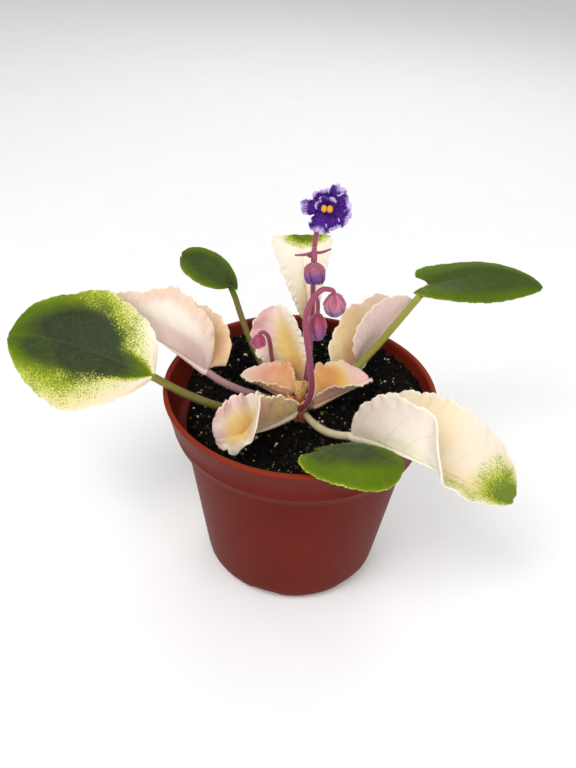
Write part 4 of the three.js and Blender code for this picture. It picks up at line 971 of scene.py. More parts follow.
def down_tree(name):
    """Short tapering hairs all over a surface, leaning every way."""
    tree, given = node_tree(name, {
        "Density": ("Float", 1.6e6), "Length": ("Float", 0.9 * MM), "Width": ("Float", 0.06 * MM),
        "Seed": ("Int", 1), "Material": ("Material", None),
    })
    roots = add(tree, "GeometryNodeDistributePointsOnFaces", {
        "Mesh": given["Geometry"], "Density": given["Density"], "Seed": given["Seed"],
    })
    half = add(tree, "ShaderNodeMath", {0: given["Width"], 1: 0.5}, operation="MULTIPLY")
    hair = add(tree, "GeometryNodeMeshCone", {
        "Vertices": 3, "Radius Top": 0.0, "Radius Bottom": half, "Depth": given["Length"],
    }, fill_type="NONE")
    lean = add(tree, "FunctionNodeRandomValue", {
        0: (-0.5, -0.5, -3.1), 1: (0.5, 0.5, 3.1), "Seed": given["Seed"],
    }, data_type="FLOAT_VECTOR")
    turn = add(tree, "FunctionNodeEulerToRotation", {0: lean})
    way = add(tree, "FunctionNodeRotateRotation", {"Rotation": roots.outputs["Rotation"], "Rotate By": turn},
              rotation_space="LOCAL")
    size = add(tree, "FunctionNodeRandomValue", {2: 0.5, 3: 1.15, "Seed": given["Seed"]}, data_type="FLOAT")
    hairs = add(tree, "GeometryNodeInstanceOnPoints", {
        "Points": roots, "Instance": hair, "Rotation": way, "Scale": size,
    })
    end_tree(tree, hairs, given["Material"])
    return tree


def crumb_tree(name):
    """Loose grains scattered over the soil, each knocked out of round."""
    tree, given = node_tree(name, {
        "Density": ("Float", 5e5), "Smallest": ("Float", 0.4 * MM), "Largest": ("Float", 1.4 * MM),
        "Seed": ("Int", 1), "Material": ("Material", None),
    })
    spots = add(tree, "GeometryNodeDistributePointsOnFaces", {
        "Mesh": given["Geometry"], "Density": given["Density"], "Seed": given["Seed"],
    })
    grain = add(tree, "GeometryNodeMeshIcoSphere", {"Radius": 1.0, "Subdivisions": 1})
    turn = add(tree, "FunctionNodeRandomValue", {
        0: (-3.1, -3.1, -3.1), 1: (3.1, 3.1, 3.1), "Seed": given["Seed"],
    }, data_type="FLOAT_VECTOR")
    share = add(tree, "FunctionNodeRandomValue", {2: 0.0, 3: 1.0, "Seed": given["Seed"]}, data_type="FLOAT")
    # Small grains are far more common than large ones.
    skew = add(tree, "ShaderNodeMath", {0: share, 1: 2.5}, operation="POWER")
    size = add(tree, "ShaderNodeMapRange", {
        "Value": skew, "To Min": given["Smallest"], "To Max": given["Largest"],
    })
    stretch = add(tree, "FunctionNodeRandomValue", {0: (0.6, 0.6, 0.45), 1: (1.2, 1.0, 0.8)},
                  data_type="FLOAT_VECTOR")
    scale = add(tree, "ShaderNodeVectorMath", {0: stretch, "Scale": size}, operation="SCALE")
    grains = add(tree, "GeometryNodeInstanceOnPoints", {
        "Points": spots, "Instance": grain, "Rotation": turn, "Scale": scale,
    })
    real = add(tree, "GeometryNodeRealizeInstances", {"Geometry": grains})
    noise = add(tree, "ShaderNodeTexNoise", {"Scale": 900.0, "Detail": 1.0})
    centred = add(tree, "ShaderNodeVectorMath", {0: noise.outputs["Color"], 1: (0.5, 0.5, 0.5)},
                  operation="SUBTRACT")
    shift = add(tree, "ShaderNodeVectorMath", {0: centred, "Scale": 1.3 * MM}, operation="SCALE")
    knocked = add(tree, "GeometryNodeSetPosition", {"Geometry": real, "Offset": shift})
    end_tree(tree, knocked, given["Material"])
    return tree


def grown(name, source, tree, values):
    """A plain mesh object of what a tree grows on a source object."""
    modifier = source.modifiers.new(tree.name, "NODES")
    modifier.node_group = tree
    for item in tree.interface.items_tree:
        if item.in_out == "INPUT" and item.name in values:
            modifier[item.identifier] = values[item.name]
    evaluated = source.evaluated_get(bpy.context.evaluated_depsgraph_get())
    mesh = bpy.data.meshes.new_from_object(evaluated)
    mesh.name = name
    source.modifiers.remove(modifier)
    return placed(name, mesh)


def shared(make, name, *given):
    """A material or tree that is made once under its name and then reused."""
    return bpy.data.materials.get(name) or bpy.data.node_groups.get(name) or make(name, *given)


def grow_down(piece, slot, sizes, code, seed, density=1.0, length=1.0):
    """Down on a piece, as a piece of its own."""
    hairs = grown(f"{piece.name}_down", piece, shared(down_tree, "plant_down"), {
        "Density": sizes.hair_density * density / MM ** 2, "Length": sizes.hair * length,
        "Width": sizes.hair_width, "Seed": SEED + seed,
        "Material": shared(clear_hair, f"down_{code[1:].lower()}", linear(code)),
    })
    settle(hairs, slot)


def body_radius(z):
    """Outer radius of the pot's body."""
    share = (z - POT["foot"]) / (POT["height"] - POT["lip"] - POT["foot"])
    return POT["body_foot"] + (POT["body_top"] - POT["body_foot"]) * share


def channel_depth(angle, radius):
    """How deep a drainage channel has cut into the underside."""
    bed = smooth(np.cos(CHANNEL["count"] * angle - math.pi / 2), 0.35, 0.85)
    return CHANNEL["depth"] * bed * smooth(radius, CHANNEL["inner"], CHANNEL["inner"] + CHANNEL["ease"])


def rounded(radius, z, curve):
    """The points that round a corner of the pot's outline."""
    return [(radius + out, z + up) for out, up in curve]


def pot_profile():
    """The pot's outline from the middle of its underside, up the outside and down the inside."""
    wall, rim, height, base, lip_foot = (POT[name] for name in ("wall", "rim", "height", "base", "lip_foot"))
    lip_base = height - POT["lip"]
    body_top = body_radius(lip_base)
    floor = CHANNEL["depth"] + POT["floor"]
    outside = [(radius, 0) for radius in (0, 15, *np.linspace(CHANNEL["inner"], base, 9))]
    outside += rounded(base, 0, FOOT_CURVE)
    outside += [(body_radius(z), z) for z in np.linspace(POT["foot"], lip_base - 0.5, 12)]
    outside += rounded(body_top, lip_base, STEP_UNDER) + rounded(lip_foot, lip_base, STEP_EDGE)
    for rise, proud in (*LIP_BEAD, (height - 2 - lip_base, 0)):
        outside.append((lip_foot + LIP_SLOPE * rise + proud, lip_base + rise))
    outside += rounded(rim, height, RIM_OUTSIDE)
    inside = rounded(rim - wall, height, RIM_INSIDE)
    inside += rounded(lip_foot - wall, lip_base + wall, LEDGE_EDGE)
    inside += rounded(body_top - wall, lip_base + wall, LEDGE_FOOT)
    inside += [(POT["body_foot"] - wall, POT["foot"]), *rounded(base, floor, FLOOR_CURVE), (0, floor)]
    return outside, inside


def channel_rise(angle, radius, z):
    """Heights round one ring of the pot, lifted where a channel crosses its foot."""
    if z >= 5 or radius < CHANNEL["inner"]:
        return np.full(len(angle), float(z))
    # The cut grows shallower up the foot's curve.
    share = 1 - 0.4 * smooth(z, 0, 1.6) - 0.4 * smooth(z, 1.6, 4)
    return z + share * channel_depth(angle, radius)


def slot_blocks():
    """Points and faces of the blocks that cut the drainage slots through the foot."""
    block = ((0, 1, 3, 2), (4, 6, 7, 5), (0, 4, 5, 1), (2, 3, 7, 6), (0, 2, 6, 4), (1, 5, 7, 3))
    half = [CHANNEL[name] / 2 for name in ("slot_length", "slot_width", "slot_height")]
    middle = np.array([CHANNEL["slot_radius"], 0, CHANNEL["slot_middle"]])
    points, faces = [], []
    for k in range(CHANNEL["count"]):
        turn = Matrix.Rotation((2 * k + 0.5) * math.pi / CHANNEL["count"], 4, "Z")
        faces += [tuple(len(points) + i for i in face) for face in block]
        points += [tuple(turn @ Vector(middle + np.array(corner) * half))
                   for corner in itertools.product((-1, 1), repeat=3)]
    return points, faces


def build_pot(sizes, colours):
    """The pot, turned in one piece, with its drainage slots cut through the foot."""
    outside, inside = pot_profile()

    def height(angle, radius, z):
        """Only the outside follows the channels."""
        return channel_rise(angle, radius, z) if (radius, z) in outside else np.full(len(angle), float(z))

    points, faces = lathe(outside + inside, sizes.sides, height)
    pot = make_object("pot_shell", points, faces, [pot_plastic("moulded_polypropylene", colours)])
    cutter = make_object("slot_cutter", *slot_blocks())
    modifier = pot.modifiers.new("slots", "BOOLEAN")
    modifier.operation, modifier.object, modifier.solver = "DIFFERENCE", cutter, "EXACT"
    pot.data = bpy.data.meshes.new_from_object(pot.evaluated_get(bpy.context.evaluated_depsgraph_get()))
    pot.modifiers.remove(modifier)
    bpy.data.objects.remove(cutter)
    settle(pot, "pot_plastic", "pot")


def soil_height(x, y):
    """Height of the soil's loose surface, in millimetres."""
    reach = np.minimum(1, np.hypot(x, y) / POT["body_top"])
    # Uneven waves 6 to 13 mm long, and finer ones 1.3 to 3 mm long.
    crumbs = np.sin(0.55 * x + 1.3) * np.cos(0.47 * y - 0.4) + 0.6 * np.sin(1.1 * y + 0.7 * x)
    fine = np.sin(2.3 * x + 0.6 * y) * np.sin(2.1 * y - 0.9 * x) + 0.5 * np.sin(4.7 * x + 1) * np.cos(4.3 * y)
    banked = smooth(np.cos(np.arctan2(y, x) - math.radians(SOIL["bank_turn"])), -0.5, 0.3)
    return (SOIL["level"] + SOIL["rise"] * (1 - reach * reach) + SOIL["bank"] * banked * reach ** 2
            + (SOIL["crumb"] * crumbs + SOIL["fine"] * fine) * (1 - reach ** 6))


def soil_reach(angle, edge):
    """How far out the soil's surface goes: it spreads over the ledge under the lip where it is banked up."""
    top = soil_height(POT["body_top"] * np.cos(angle), POT["body_top"] * np.sin(angle))
    ledge = POT["height"] - POT["lip"] + POT["wall"]
    above = POT["lip_foot"] - POT["wall"] - SOIL["clear"] + LIP_SLOPE * (top - ledge)
    return edge + (above - edge) * smooth(top, ledge - 0.2, ledge + 2)


def soil_bed(skin):
    """The soil as one closed piece, a little clear of the pot's wall."""
    clear = POT["wall"] + SOIL["clear"]
    edge = body_radius(SOIL["level"]) - clear
    floor = CHANNEL["depth"] + POT["floor"] + 0.3
    profile = [(0, floor), (POT["base"] - 2.5, floor), (POT["base"] + 0.2, floor + 0.9),
               (POT["body_foot"] - clear - 0.2, POT["foot"] + 0.5), (edge, SOIL["level"] - 1)]
    profile += [(radius, SOIL["level"]) for radius in np.linspace(edge, 0.6, SOIL["rings"])]
    points, faces = lathe([*profile, (0, SOIL["level"])], SOIL["sides"])
    points = np.array(points, float)
    top = points[:, 2] == SOIL["level"]
    out = np.hypot(points[top, 0], points[top, 1]) / edge
    reach = soil_reach(np.arctan2(points[top, 1], points[top, 0]), edge) / edge
    points[top, :2] *= (1 + (reach - 1) * out ** 2)[:, None]
    points[top, 2] = soil_height(points[top, 0], points[top, 1])
    return make_object("soil_bed", points, faces, [skin])


def build_soil(sizes, colours):
    """The soil, its loose crumbs and the perlite mixed into it."""
    peat = potting_soil("damp_peat", colours.soil, linear("#130E0C"))
    mesh = settle(soil_bed(peat), "potting_soil", "soil").data
    # Grains lie on the faces of the bed that look upwards, at its top.
    top = [list(face.vertices) for face in mesh.polygons if face.normal.z > 0.3 and face.center.z > 0.06]
    surface = make_object("soil_surface", [np.array(point.co) / MM for point in mesh.vertices], top)
    bark = potting_soil("dry_coir", linear("#33271C"), linear("#5E4B34"))
    perlite = potting_soil("perlite_grain", colours.perlite, linear("#F2EBDA"))
    algae = potting_soil("green_algae", linear("#6E7A3A"), linear("#A7AE66"))
    # Each kind of grain: its share of the crumbs' count, and its smallest and largest radius in millimetres.
    grains = (
        ("soil_crumbs", 1.0, 0.45, 1.7, peat),
        ("soil_bark", 0.12, 0.5, 1.5, bark),
        ("soil_perlite", sizes.perlite / sizes.crumbs, 0.35, 1.0, perlite),
        ("soil_moss", 0.05, 0.4, 0.9, algae),
    )
    tree = shared(crumb_tree, "loose_grains")
    for k, (name, share, smallest, largest, skin) in enumerate(grains):
        piece = grown(name, surface, tree, {
            "Density": sizes.crumbs * share / MM ** 2, "Smallest": smallest * MM, "Largest": largest * MM,
            "Seed": SEED + k, "Material": skin,
        })
        settle(piece, "potting_soil")
    bpy.data.objects.remove(surface)


def stem_piece():
    """The short stem that every stalk grows from, with the swellings that old leaves left."""
    foot, top = CROWN["foot"], CROWN["top"]
    rings, around = ROUND["crown"]
    known = (foot + 3, CROWN["shoulder"], CROWN["shoulder"] + 3, top - 1)
    radii = (CROWN["soil_radius"], CROWN["shoulder_radius"],
             0.5 * (CROWN["shoulder_radius"] + CROWN["top_radius"]), CROWN["top_radius"])
    profile = [(0, foot), (CROWN["soil_radius"] * 0.7, foot), (CROWN["soil_radius"], foot + 3)]
    profile += [(float(np.interp(z, known, radii)), float(z)) for z in np.linspace(foot + 5, top - 1, rings)]
    profile += [(CROWN["top_radius"] * 0.6, top), (0, top)]
    points, faces = lathe(profile, around)
    points = np.array(points, float)
    swell = 1 + 0.05 * np.sin(5 * np.arctan2(points[:, 1], points[:, 0]) + 1.4 * points[:, 2])
    points[:, :2] *= swell[:, None]
    points[:, :2] += (CROWN["x"], CROWN["y"])
    skin = fleshy_stalk("crown_stem", linear("#B4713F"), linear("#783430"))
    return make_object("crown_stem", points, faces, [skin])


def young_leaf(turn, height, lean, low, width, fold):
    """The form of one unopened leaf, which stands on the crown and leans away from its middle."""
    angle = math.radians(turn)
    away = np.array([math.cos(angle), math.sin(angle), 0])
    up = np.array([0, 0, 1.0])
    start = np.array([CROWN["x"], CROWN["y"], CROWN["top"] + 0.2 - low]) + away * (0.3 + 0.45 * low)
    half = {"width": width, "wide": 0.5, "base": 2, "tip": 2, "fold": fold, "ruffle": (0.35, 2, turn)}
    return {
        "base": start, "tip": start + away * lean * 1.1 + up * height,
        "rib": [start + away * lean + up * height * 0.3, start + away * lean * 1.4 + up * height * 0.7],
        "face": [-away, -away], "teeth": 1, "bite": 0, "crenate": 12, "left": half, "right": half,
    }


def build_crown(sizes, colours):
    """The short stem and the unopened leaves on it."""
    settle(stem_piece(), "crown_tissue", "crown")
    parts, coral = [], []
    for *form, blush in YOUNG_LEAVES:
        parts.append(thin_blade(*middle_surface(young_leaf(*form), *GRIDS["young"]), YOUNG_BLADE))
        coral += [blush] * len(parts[-1][0])
    points, faces, uv = joined(parts)
    side = np.concatenate([part[3] for part in parts])
    fields = {name: np.zeros(len(points)) for name in FIELDS}
    fields.update({"gold": np.ones(len(points)), "coral": coral, "under": side * 0.3})
    flesh = shared(leaf_flesh, "leaf_flesh", colours)
    leaflets = make_object("young_leaves", points, faces, [flesh], uv=uv, fields=fields)
    settle(leaflets, "young_leaf", "centre_leaflets")
    grow_down(leaflets, "young_leaf", sizes, "#E9D7B0", DOWN_SEEDS["crown"], density=1.5, length=0.7)


def patch_fields(name, t, s, side):
    """The strength of each colour at every point of a leaf, from its patches and its margin."""
    fields = {field: np.zeros_like(t) for field in FIELDS}
    shown = {"both": 1, "under": side, "top": 1 - side}
    for field, face, along_at, across_at, long, wide, strength in PATCHES[name]:
        away = np.hypot((t - along_at) / long, (s - across_at) / wide)
        amount = strength * np.clip(2 * (1 - away), 0, 1) * shown[face]
        fields[field] = np.maximum(fields[field], amount)
    field, strength = MARGINS[name]
    margin = smooth(np.abs(s), MARGIN["start"], 1.0) * strength
    fields[field] = np.maximum(fields[field], margin)
    fields["green"] = fields["green"] * (1 - MARGIN["bleach"] * margin)
    fields["under"] = side
    return fields


def petiole(leaf):
    """A leaf's stalk, which runs on under the blade as its midrib, and the count of its rings before that."""
    small = leaf.get("small", False)
    thin, thick = PETIOLE["small_radius"], PETIOLE["small_radius" if small else "radius"]
    t = np.linspace(0, 1, PETIOLE["small_steps" if small else "steps"], endpoint=False)
    path = bezier((leaf["root"], *leaf["stalk"], leaf["base"]), t)
    radii = thin + (thick - thin) * np.minimum(1, 3 * t)
    rib = (leaf["base"], *leaf["rib"], leaf["tip"])
    onward = np.linspace(PETIOLE["rib_start"], PETIOLE["rib_end"], PETIOLE["rib_steps"])
    up = upward(leaf["face"], onward, bezier_way(rib, onward))
    thinned = 1 - np.minimum(1, onward / PETIOLE["rib_thin"])
    rib_radii = PETIOLE["rib"] + (thick - PETIOLE["rib"]) * thinned ** PETIOLE["rib_taper"]
    rib_path = bezier(rib, onward) - up * (PETIOLE["rib_sunk"] * rib_radii)[:, None]
    made = tube(np.concatenate([path, rib_path]), np.concatenate([radii, rib_radii]), PETIOLE["sides"])
    return *made, len(path)


def skin_lift(t, s, puff, number, crinkled):
    """How far a leaf's skin stands off its plain form: puffs between the veins, slow waves and crinkles."""
    across, to_tip = np.abs(s), 1 - t
    veins = np.abs(np.sin(math.pi * VEINS["pairs"] * (t - VEINS["sweep"] * across)))
    fade = smooth(1 - across, 0.0, 0.25) * smooth(across, 0.02, 0.15) * smooth(to_tip, 0, 0.12)
    slow = np.sin(5.1 * t + 2.3 * s + number) * np.sin(3.7 * s - 4.1 * t + 2 * number)
    lift = puff * (veins ** 0.7 - 0.6) * fade + 0.5 * slow * smooth(across, 0, 0.5)
    if crinkled:
        # Two sets of fine crinkles near the margin, about 11 and 18 of them along the leaf.
        crinkle = np.sin(71 * t + 6 * s + number) + 0.7 * np.sin(113 * t - 9 * s + 2 * number)
        lift += 0.2 * crinkle * smooth(across, 0.6, 1) * smooth(to_tip, 0, 0.1)
    return lift


def build_leaf(name, sizes, colours, number):
    """One leaf with its stalk, and the down on it."""
    leaf, tone = LEAVES[name], TONES[name]
    slot = next(row["material_slot"] for row in frame["record"]["subparts"] if row["node"] == name)
    small, green = leaf.get("small", False), slot == "green_leaf"
    surface, t, s = middle_surface(leaf, *GRIDS["small" if small else "leaf"])
    lift = skin_lift(t, s, sizes.quilt / MM * (0.6 if small else 1.0), number, not green)
    blade = thin_blade(surface + surface_normals(surface) * lift[..., None], t, s, sizes.blade)
    fields = patch_fields(name, blade[2][:, 0], 2 * blade[2][:, 1] - 1, blade[3])
    stem_points, stem_faces, stem_uv, steps = petiole(leaf)
    # The midrib takes the blade's skin and colours, and the stalk before it has its own. The middle of the
    # stalk's foot is its last point but one.
    ring, count = PETIOLE["sides"] * steps, len(stem_points)
    begun = stem_uv[ring, 0]
    rib_place = np.clip((stem_uv[:, 0] - begun) / (1 - begun), 0, 1) * PETIOLE["rib_end"]
    rib_fields = patch_fields(name, rib_place, np.zeros(count), np.ones(count))
    on_rib = np.arange(count) >= ring
    on_rib[-2] = False
    across = np.full(count, PETIOLE["rib_across"])
    stem_uv = np.where(on_rib[:, None], np.stack([rib_place, across], axis=1), stem_uv)
    before = ring - PETIOLE["sides"]
    skins = [0] * len(blade[1])
    skins += [int(min(face) < before or max(face) == count - 2) for face in stem_faces]
    points, faces, uv = joined([blade, (stem_points, stem_faces, stem_uv)])
    materials = [shared(leaf_flesh, "leaf_flesh", colours),
                 shared(fleshy_stalk, f"stalk_{tone}", *map(linear, TONE_COLOURS[tone]))]
    piece = make_object(
        f"{name}_blade", points, faces, materials, face_materials=skins, uv=uv,
        fields={field: np.concatenate([fields[field], rib_fields[field]]) for field in FIELDS},
    )
    settle(piece, slot, name)
    grow_down(piece, slot, sizes, "#A3AC62" if green else "#F1E2D6", DOWN_SEEDS["leaves"] + number)


def build_stalk(name, sizes, colours, number):
    """A flower stalk with its branches, and its down."""
    parts = []
    rings, around = ROUND["stalk"]
    for branch in STALKS[name]:
        path = smooth_path(branch["path"], rings * len(branch["path"]))
        places = np.linspace(0, 1, len(branch["radii"]))
        parts.append(tube(path, np.interp(np.linspace(0, 1, len(path)), places, branch["radii"]), around))
    points, faces, uv = joined(parts)
    piece = make_object(f"{name}_stem", points, faces, [shared(flower_stem, "flower_stem", colours)], uv=uv)
    settle(piece, "flower_stalk", name)
    grow_down(piece, "flower_stalk", sizes, "#E9C9D6", DOWN_SEEDS["stalks"] + number, density=3.0, length=0.8)


class BudForm:
    """A bud's axis, the two directions across it and its outline."""

    def __init__(self, bud):
        self.top, foot = np.array(bud["top"]), np.array(bud["foot"])
        self.length = np.linalg.norm(foot - self.top)
        self.ahead = (foot - self.top) / self.length
        self.side = unit(np.array([1.0, 0, 0]) - self.ahead * self.ahead[0])
        self.other = np.cross(self.ahead, self.side)
        self.radius, self.sepals, self.gape = bud["radius"], bud["sepals"], bud["gape"]
        gape = self.gape
        self.wide = (0.2, 0.42, 0.72, 0.96, 1, 0.84 + 0.1 * gape, 0.5 + 0.3 * gape, 0.2 + 0.5 * gape)

    def outline(self, share):
        """The bud's radius at a share of its length."""
        return self.radius * np.interp(share, BUD_SHARES, self.wide)

    def ring(self, share, angle, radius):
        """Points round the bud's axis at a share of its length."""
        middle = self.top + self.ahead * share * self.length
        across = np.outer(radius * np.cos(angle), self.side)
        return middle + across + np.outer(radius * np.sin(angle), self.other)


def bud_petals(form):
    """Points, faces and UVs of a bud's petals, wrapped over each other."""
    around, gape = BUD_GRID["around"], form.gape
    angle = np.linspace(0, 2 * math.pi, around, endpoint=False)
    turns = np.arange(around) / around
    rings, uv = [], []
    for share in np.linspace(0.01, 1, BUD_GRID["rings"]):
        # Each petal draws in towards its edge, which the next one covers. An opening bud is crumpled too.
        wrap = (BUD_WRAP["petals"] * angle / (2 * math.pi) + BUD_WRAP["twist"] * share) % 1
        fold = 1 - (0.13 + 0.12 * gape) * share * wrap ** 3 - 0.05 * share * np.cos(5 * angle + 3 * share)
        fold *= 1 + 0.07 * gape * share * np.sin(9 * angle + 7 * share)
        rings.append(form.ring(share, angle, form.outline(share) * 0.97 * fold))
        uv.append(np.stack([np.full(around, share), turns], axis=1))
    for share, narrow in BUD_CURL if gape else ():
        radius = form.radius * narrow * (1 - 0.15 * np.cos(3 * angle + 9 * share))
        rings.append(form.ring(share, angle, radius))
        uv.append(np.stack([np.ones(around), turns], axis=1))
    first, last, start = len(rings) * around, len(rings) * around + 1, (len(rings) - 1) * around
    faces = [(a, d, c, b) for a, b, c, d in ring_faces(len(rings), around)]
    faces += [(first, k, (k + 1) % around) for k in range(around)]
    faces += [(last, start + (k + 1) % around, start + k) for k in range(around)]
    ends = [form.top, form.top + form.ahead * (1.02 - 0.1 * gape) * form.length]
    return np.concatenate([*rings, ends]), faces, np.concatenate([*uv, [(0, 0.5), (1, 0.5)]])


def bud_sepal(form, number):
    """Points, faces and UVs of one of the sepals that hold a bud: a thin, keeled, pointed strip."""
    rows, columns = BUD_GRID["sepal_rows"], BUD_GRID["sepal_columns"]
    turn = 2 * math.pi * (number + 0.3) / SEPALS["count"]
    spread = np.linspace(-1, 1, columns)
    strip = []
    for share in np.linspace(0.0, form.sepals, rows):
        reach = SEPALS["half_angle"] * math.sqrt(max(0.02, 1 - (share / form.sepals) ** 2.2))
        radius = form.outline(share) + SEPALS["clear"] + SEPALS["keel"] * (1 - np.abs(spread))
        strip.append(form.ring(share, turn + spread * reach, radius))
    places = np.meshgrid(np.linspace(0, 1, rows), spread, indexing="ij")
    return thin_blade(np.array(strip), *places, SEPAL_BLADE)[:3]


def build_bud(name, sizes, number):
    """A closed bud, held by downy sepals."""
    form = BudForm(BUDS[name])
    petals = bud_petals(form)
    points, faces, uv = joined([petals, *(bud_sepal(form, k) for k in range(SEPALS["count"]))])
    skins = [bud_skin(f"{name}_petals", *map(linear, BUDS[name]["colours"])),
             shared(bud_skin, "sepal_skin", linear("#A04862"), linear("#AC6076"))]
    on_sepal = [0] * len(petals[1]) + [1] * (len(faces) - len(petals[1]))
    piece = make_object(f"{name}_closed", points, faces, skins, face_materials=on_sepal, uv=uv)
    settle(piece, "flower_bud", name)
    grow_down(piece, "flower_bud", sizes, "#F0D6E2", DOWN_SEEDS["buds"] + number, density=2.6, length=0.75)


def flower_axes():
    """The flower's middle, the way it faces, and its two directions across."""
    centre, facing = np.array(FLOWER["centre"]), unit(np.array(FLOWER["facing"]))
    east = np.array([1.0, 0, 0])
    return centre, facing, east, np.cross(facing, east)


def petal_form(number, centre, facing, away):
    """The form of one petal, which grows from the throat and curls back at its tip."""
    _, length, width, tilt = PETALS[number]
    lift = math.radians(tilt)
    ahead = away * math.cos(lift) + facing * math.sin(lift)
    root = centre + away * FLOWER["petal_root"] - facing * FLOWER["petal_root"]
    face = facing - 0.3 * away
    half = {"width": width, "wide": 0.66, "base": 1.4, "tip": 3, "fold": 8}
    return {
        "base": root, "tip": root + ahead * length - facing * 0.4,
        "rib": [root + ahead * length * 0.35 + facing * 0.2, root + ahead * length * 0.7 + facing * 0.5],
        "face": [face, face], "teeth": 3, "bite": 0.12, "crenate": 9,
        "left": {**half, "ruffle": (0.8, 2.5, 1.9 * number)}, "right": {**half, "ruffle": (0.8, 2, number)},
    }


def pollen_sac(middle, facing, east, north):
    """Points and faces of one lobe of an anther, with a groove down its front and its back."""
    rings, around = ROUND["anther"]
    points = []
    for polar in np.linspace(0.08, math.pi - 0.08, rings):
        for k in range(around):
            turn = 2 * math.pi * k / around
            near = math.exp(-((math.sin(turn) / ANTHER["groove_width"]) ** 2))
            groove = 1 - ANTHER["groove"] * near * math.sin(polar)
            points.append(middle + ANTHER["radius"] * groove * (
                1.02 * math.sin(polar) * math.cos(turn) * facing
                + 0.98 * math.sin(polar) * math.sin(turn) * east * 0.9 + 1.05 * math.cos(polar) * north))
    faces = [(a, d, c, b) for a, b, c, d in ring_faces(rings, around)]
    faces += [tuple(range(around)), tuple((rings - 1) * around + k for k in reversed(range(around)))]
    return points, faces, np.zeros((len(points), 2))


def build_flower(sizes, colours):
    """The open flower: frilled petals in two layers round a short throat, and the two anthers."""
    centre, facing, east, north = flower_axes()
    parts = []
    for k, petal in enumerate(PETALS):
        angle = math.radians(petal[0])
        form = petal_form(k, centre, facing, east * math.cos(angle) + north * math.sin(angle))
        surface, t, s = middle_surface(form, *GRIDS["petal"])
        # The frill grows towards the petal's sides and its tip.
        edge = np.maximum(np.abs(s) ** 2, smooth(t, 0.55, 1.0))
        wave = sizes.frill / MM * edge * np.sin(17 * t + 9 * s + 2 * k) * np.cos(8 * s - 5 * t + k)
        parts.append(thin_blade(surface + surface_normals(surface) * wave[..., None], t, s, PETAL_BLADE))
    rings, around = ROUND["throat"]
    path = [centre + facing * place
            for place in np.linspace(FLOWER["throat_back"], FLOWER["throat_front"], rings)]
    radii = np.interp(np.linspace(0, 1, rings), FLOWER["throat_shares"], FLOWER["throat"])
    throat, throat_faces, throat_uv = tube(path, radii, around)
    dark = np.stack([0.4 * throat_uv[:, 0], np.full(len(throat), 0.5)], axis=1)
    points, faces, uv = joined([*parts, (throat, throat_faces, dark)])
    petals = make_object("flower_corolla", points, faces, [petal_velvet("petal_velvet", colours)], uv=uv)
    settle(petals, "petal", "flower_petals")
    front = centre + facing * ANTHER["reach"]
    lobes = [pollen_sac(front + east * ANTHER["apart"] * ANTHER["radius"] * way, facing, east, north)
             for way in (-1, 1)]
    points, faces, _ = joined(lobes)
    anthers = make_object("flower_pollen_sacs", points, faces, [pollen("anther_pollen", colours)])
    settle(anthers, "anther", "flower_anthers")


def build_stage():
    """A pale floor, soft light from all round and the camera at the viewer's place."""
    far = STAGE["floor"]
    floor = bpy.data.meshes.new("stage_floor")
    floor.from_pydata([(-far, -far, 0), (far, -far, 0), (far, far, 0), (-far, far, 0)], [], [(0, 1, 2, 3)])
    paper, tree, place = new_material("matt_paper")
    grain = add(tree, "ShaderNodeTexNoise", {"Vector": place, "Scale": 30})
    colour = add(tree, "ShaderNodeMix", {0: grain, 6: linear("#F6F6F6"), 7: linear("#FAFAFA")},
                 data_type="RGBA")
    floor.materials.append(finish_material(paper, tree, {"Base Color": colour, "Roughness": 0.9}))
    placed("stage_floor", floor)
    world = bpy.data.worlds.new("soft_studio")
    world.use_nodes = True
    sky = world.node_tree.nodes["Background"].inputs
    sky["Color"].default_value = (1, 1, 1, 1)
    sky["Strength"].default_value = STAGE["sky"]
    bpy.context.scene.world = world
    bpy.context.scene.view_settings.view_transform = "Standard"
    for name, spot, width, power in LAMPS:
        light = bpy.data.lights.new(f"{name}_light", "AREA")
        light.size, light.energy = width, power
        lamp = placed(f"{name}_light", light)
        lamp.location = spot
        lamp.rotation_euler = (Vector(STAGE["lit"]) - Vector(spot)).to_track_quat("-Z", "Y").to_euler()
    camera = bpy.data.cameras.new("viewer")
    camera.lens, camera.sensor_width = CAMERA["lens"], CAMERA["sensor"]
    camera.clip_start, camera.clip_end = 0.01, 20
    spot, aim = Vector(CAMERA["place"]) * MM, Vector(CAMERA["aim"]) * MM
    look = (aim - spot).to_track_quat("-Z", "Y").to_matrix().to_4x4()
    roll = Matrix.Rotation(math.radians(CAMERA["roll"]), 4, "Z")
    eye = placed("viewer", camera)
    eye.matrix_world = Matrix.Translation(spot) @ look @ roll
    bpy.context.scene.camera = eye


class VIOLET_OT_stage(bpy.types.Operator):
    """Sets the floor, the light and the camera."""

    bl_idname = "violet.stage"
    bl_label = "Set the stage"

    def execute(self, context):
        build_stage()
        return {"FINISHED"}


class VIOLET_OT_pot(bpy.types.Operator):
    """Moulds the nursery pot."""

    bl_idname = "violet.pot"
    bl_label = "Mould the pot"

    def execute(self, context):
        build_pot(context.scene.violet_sizes, context.scene.violet_colours)
        return {"FINISHED"}


class VIOLET_OT_soil(bpy.types.Operator):
    """Fills the pot with soil, crumbs and perlite."""

    bl_idname = "violet.soil"
    bl_label = "Fill the pot"

    def execute(self, context):
        build_soil(context.scene.violet_sizes, context.scene.violet_colours)
        return {"FINISHED"}


class VIOLET_OT_crown(bpy.types.Operator):
    """Grows the crown and its unopened leaves."""

    bl_idname = "violet.crown"
    bl_label = "Grow the crown"

    def execute(self, context):
        build_crown(context.scene.violet_sizes, context.scene.violet_colours)
        return {"FINISHED"}


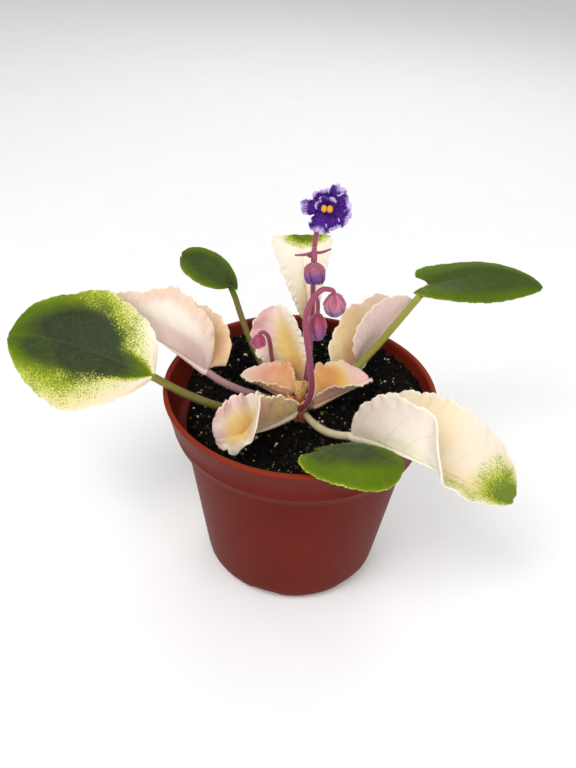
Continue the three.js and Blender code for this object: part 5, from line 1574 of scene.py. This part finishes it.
class VIOLET_OT_leaves(bpy.types.Operator):
    """Grows the rosette of downy leaves."""

    bl_idname = "violet.leaves"
    bl_label = "Grow the leaves"

    def execute(self, context):
        for number, name in enumerate(LEAVES):
            build_leaf(name, context.scene.violet_sizes, context.scene.violet_colours, number)
        return {"FINISHED"}


class VIOLET_OT_stalks(bpy.types.Operator):
    """Grows the flower stalks with their branches and bracts."""

    bl_idname = "violet.stalks"
    bl_label = "Grow the flower stalks"

    def execute(self, context):
        for number, name in enumerate(STALKS):
            build_stalk(name, context.scene.violet_sizes, context.scene.violet_colours, number)
        return {"FINISHED"}


class VIOLET_OT_buds(bpy.types.Operator):
    """Hangs the closed buds on their stalks."""

    bl_idname = "violet.buds"
    bl_label = "Hang the buds"

    def execute(self, context):
        for number, name in enumerate(BUDS):
            build_bud(name, context.scene.violet_sizes, number)
        return {"FINISHED"}


class VIOLET_OT_flower(bpy.types.Operator):
    """Opens the flower."""

    bl_idname = "violet.flower"
    bl_label = "Open the flower"

    def execute(self, context):
        build_flower(context.scene.violet_sizes, context.scene.violet_colours)
        return {"FINISHED"}


class VIOLET_PT_panel(bpy.types.Panel):
    """Lists the sizes, the colours and the steps."""

    bl_idname = "VIOLET_PT_panel"
    bl_label = "Potted African Violet"
    bl_space_type = "VIEW_3D"
    bl_region_type = "UI"
    bl_category = "Violet"

    def draw(self, context):
        for group in (context.scene.violet_sizes, context.scene.violet_colours):
            box = self.layout.box()
            for name in group.__annotations__:
                box.prop(group, name)
        for step in STEPS:
            self.layout.operator(step.bl_idname)


STEPS = (VIOLET_OT_stage, VIOLET_OT_pot, VIOLET_OT_soil, VIOLET_OT_crown, VIOLET_OT_leaves, VIOLET_OT_stalks,
         VIOLET_OT_buds, VIOLET_OT_flower)
CLASSES = (VioletSizes, VioletColours, *STEPS, VIOLET_PT_panel)


def register():
    """Adds the classes and the plant's settings."""
    for made in CLASSES:
        bpy.utils.register_class(made)
    bpy.types.Scene.violet_sizes = PointerProperty(type=VioletSizes)
    bpy.types.Scene.violet_colours = PointerProperty(type=VioletColours)


def unregister():
    """Takes the settings and the classes away again."""
    del bpy.types.Scene.violet_colours
    del bpy.types.Scene.violet_sizes
    for made in reversed(CLASSES):
        bpy.utils.unregister_class(made)


def main():
    """Builds the whole object."""
    register()
    bpy.ops.violet.stage()
    bpy.ops.violet.pot()
    bpy.ops.violet.soil()
    bpy.ops.violet.crown()
    bpy.ops.violet.leaves()
    bpy.ops.violet.stalks()
    bpy.ops.violet.buds()
    bpy.ops.violet.flower()


if __name__ == "__main__":
    main()
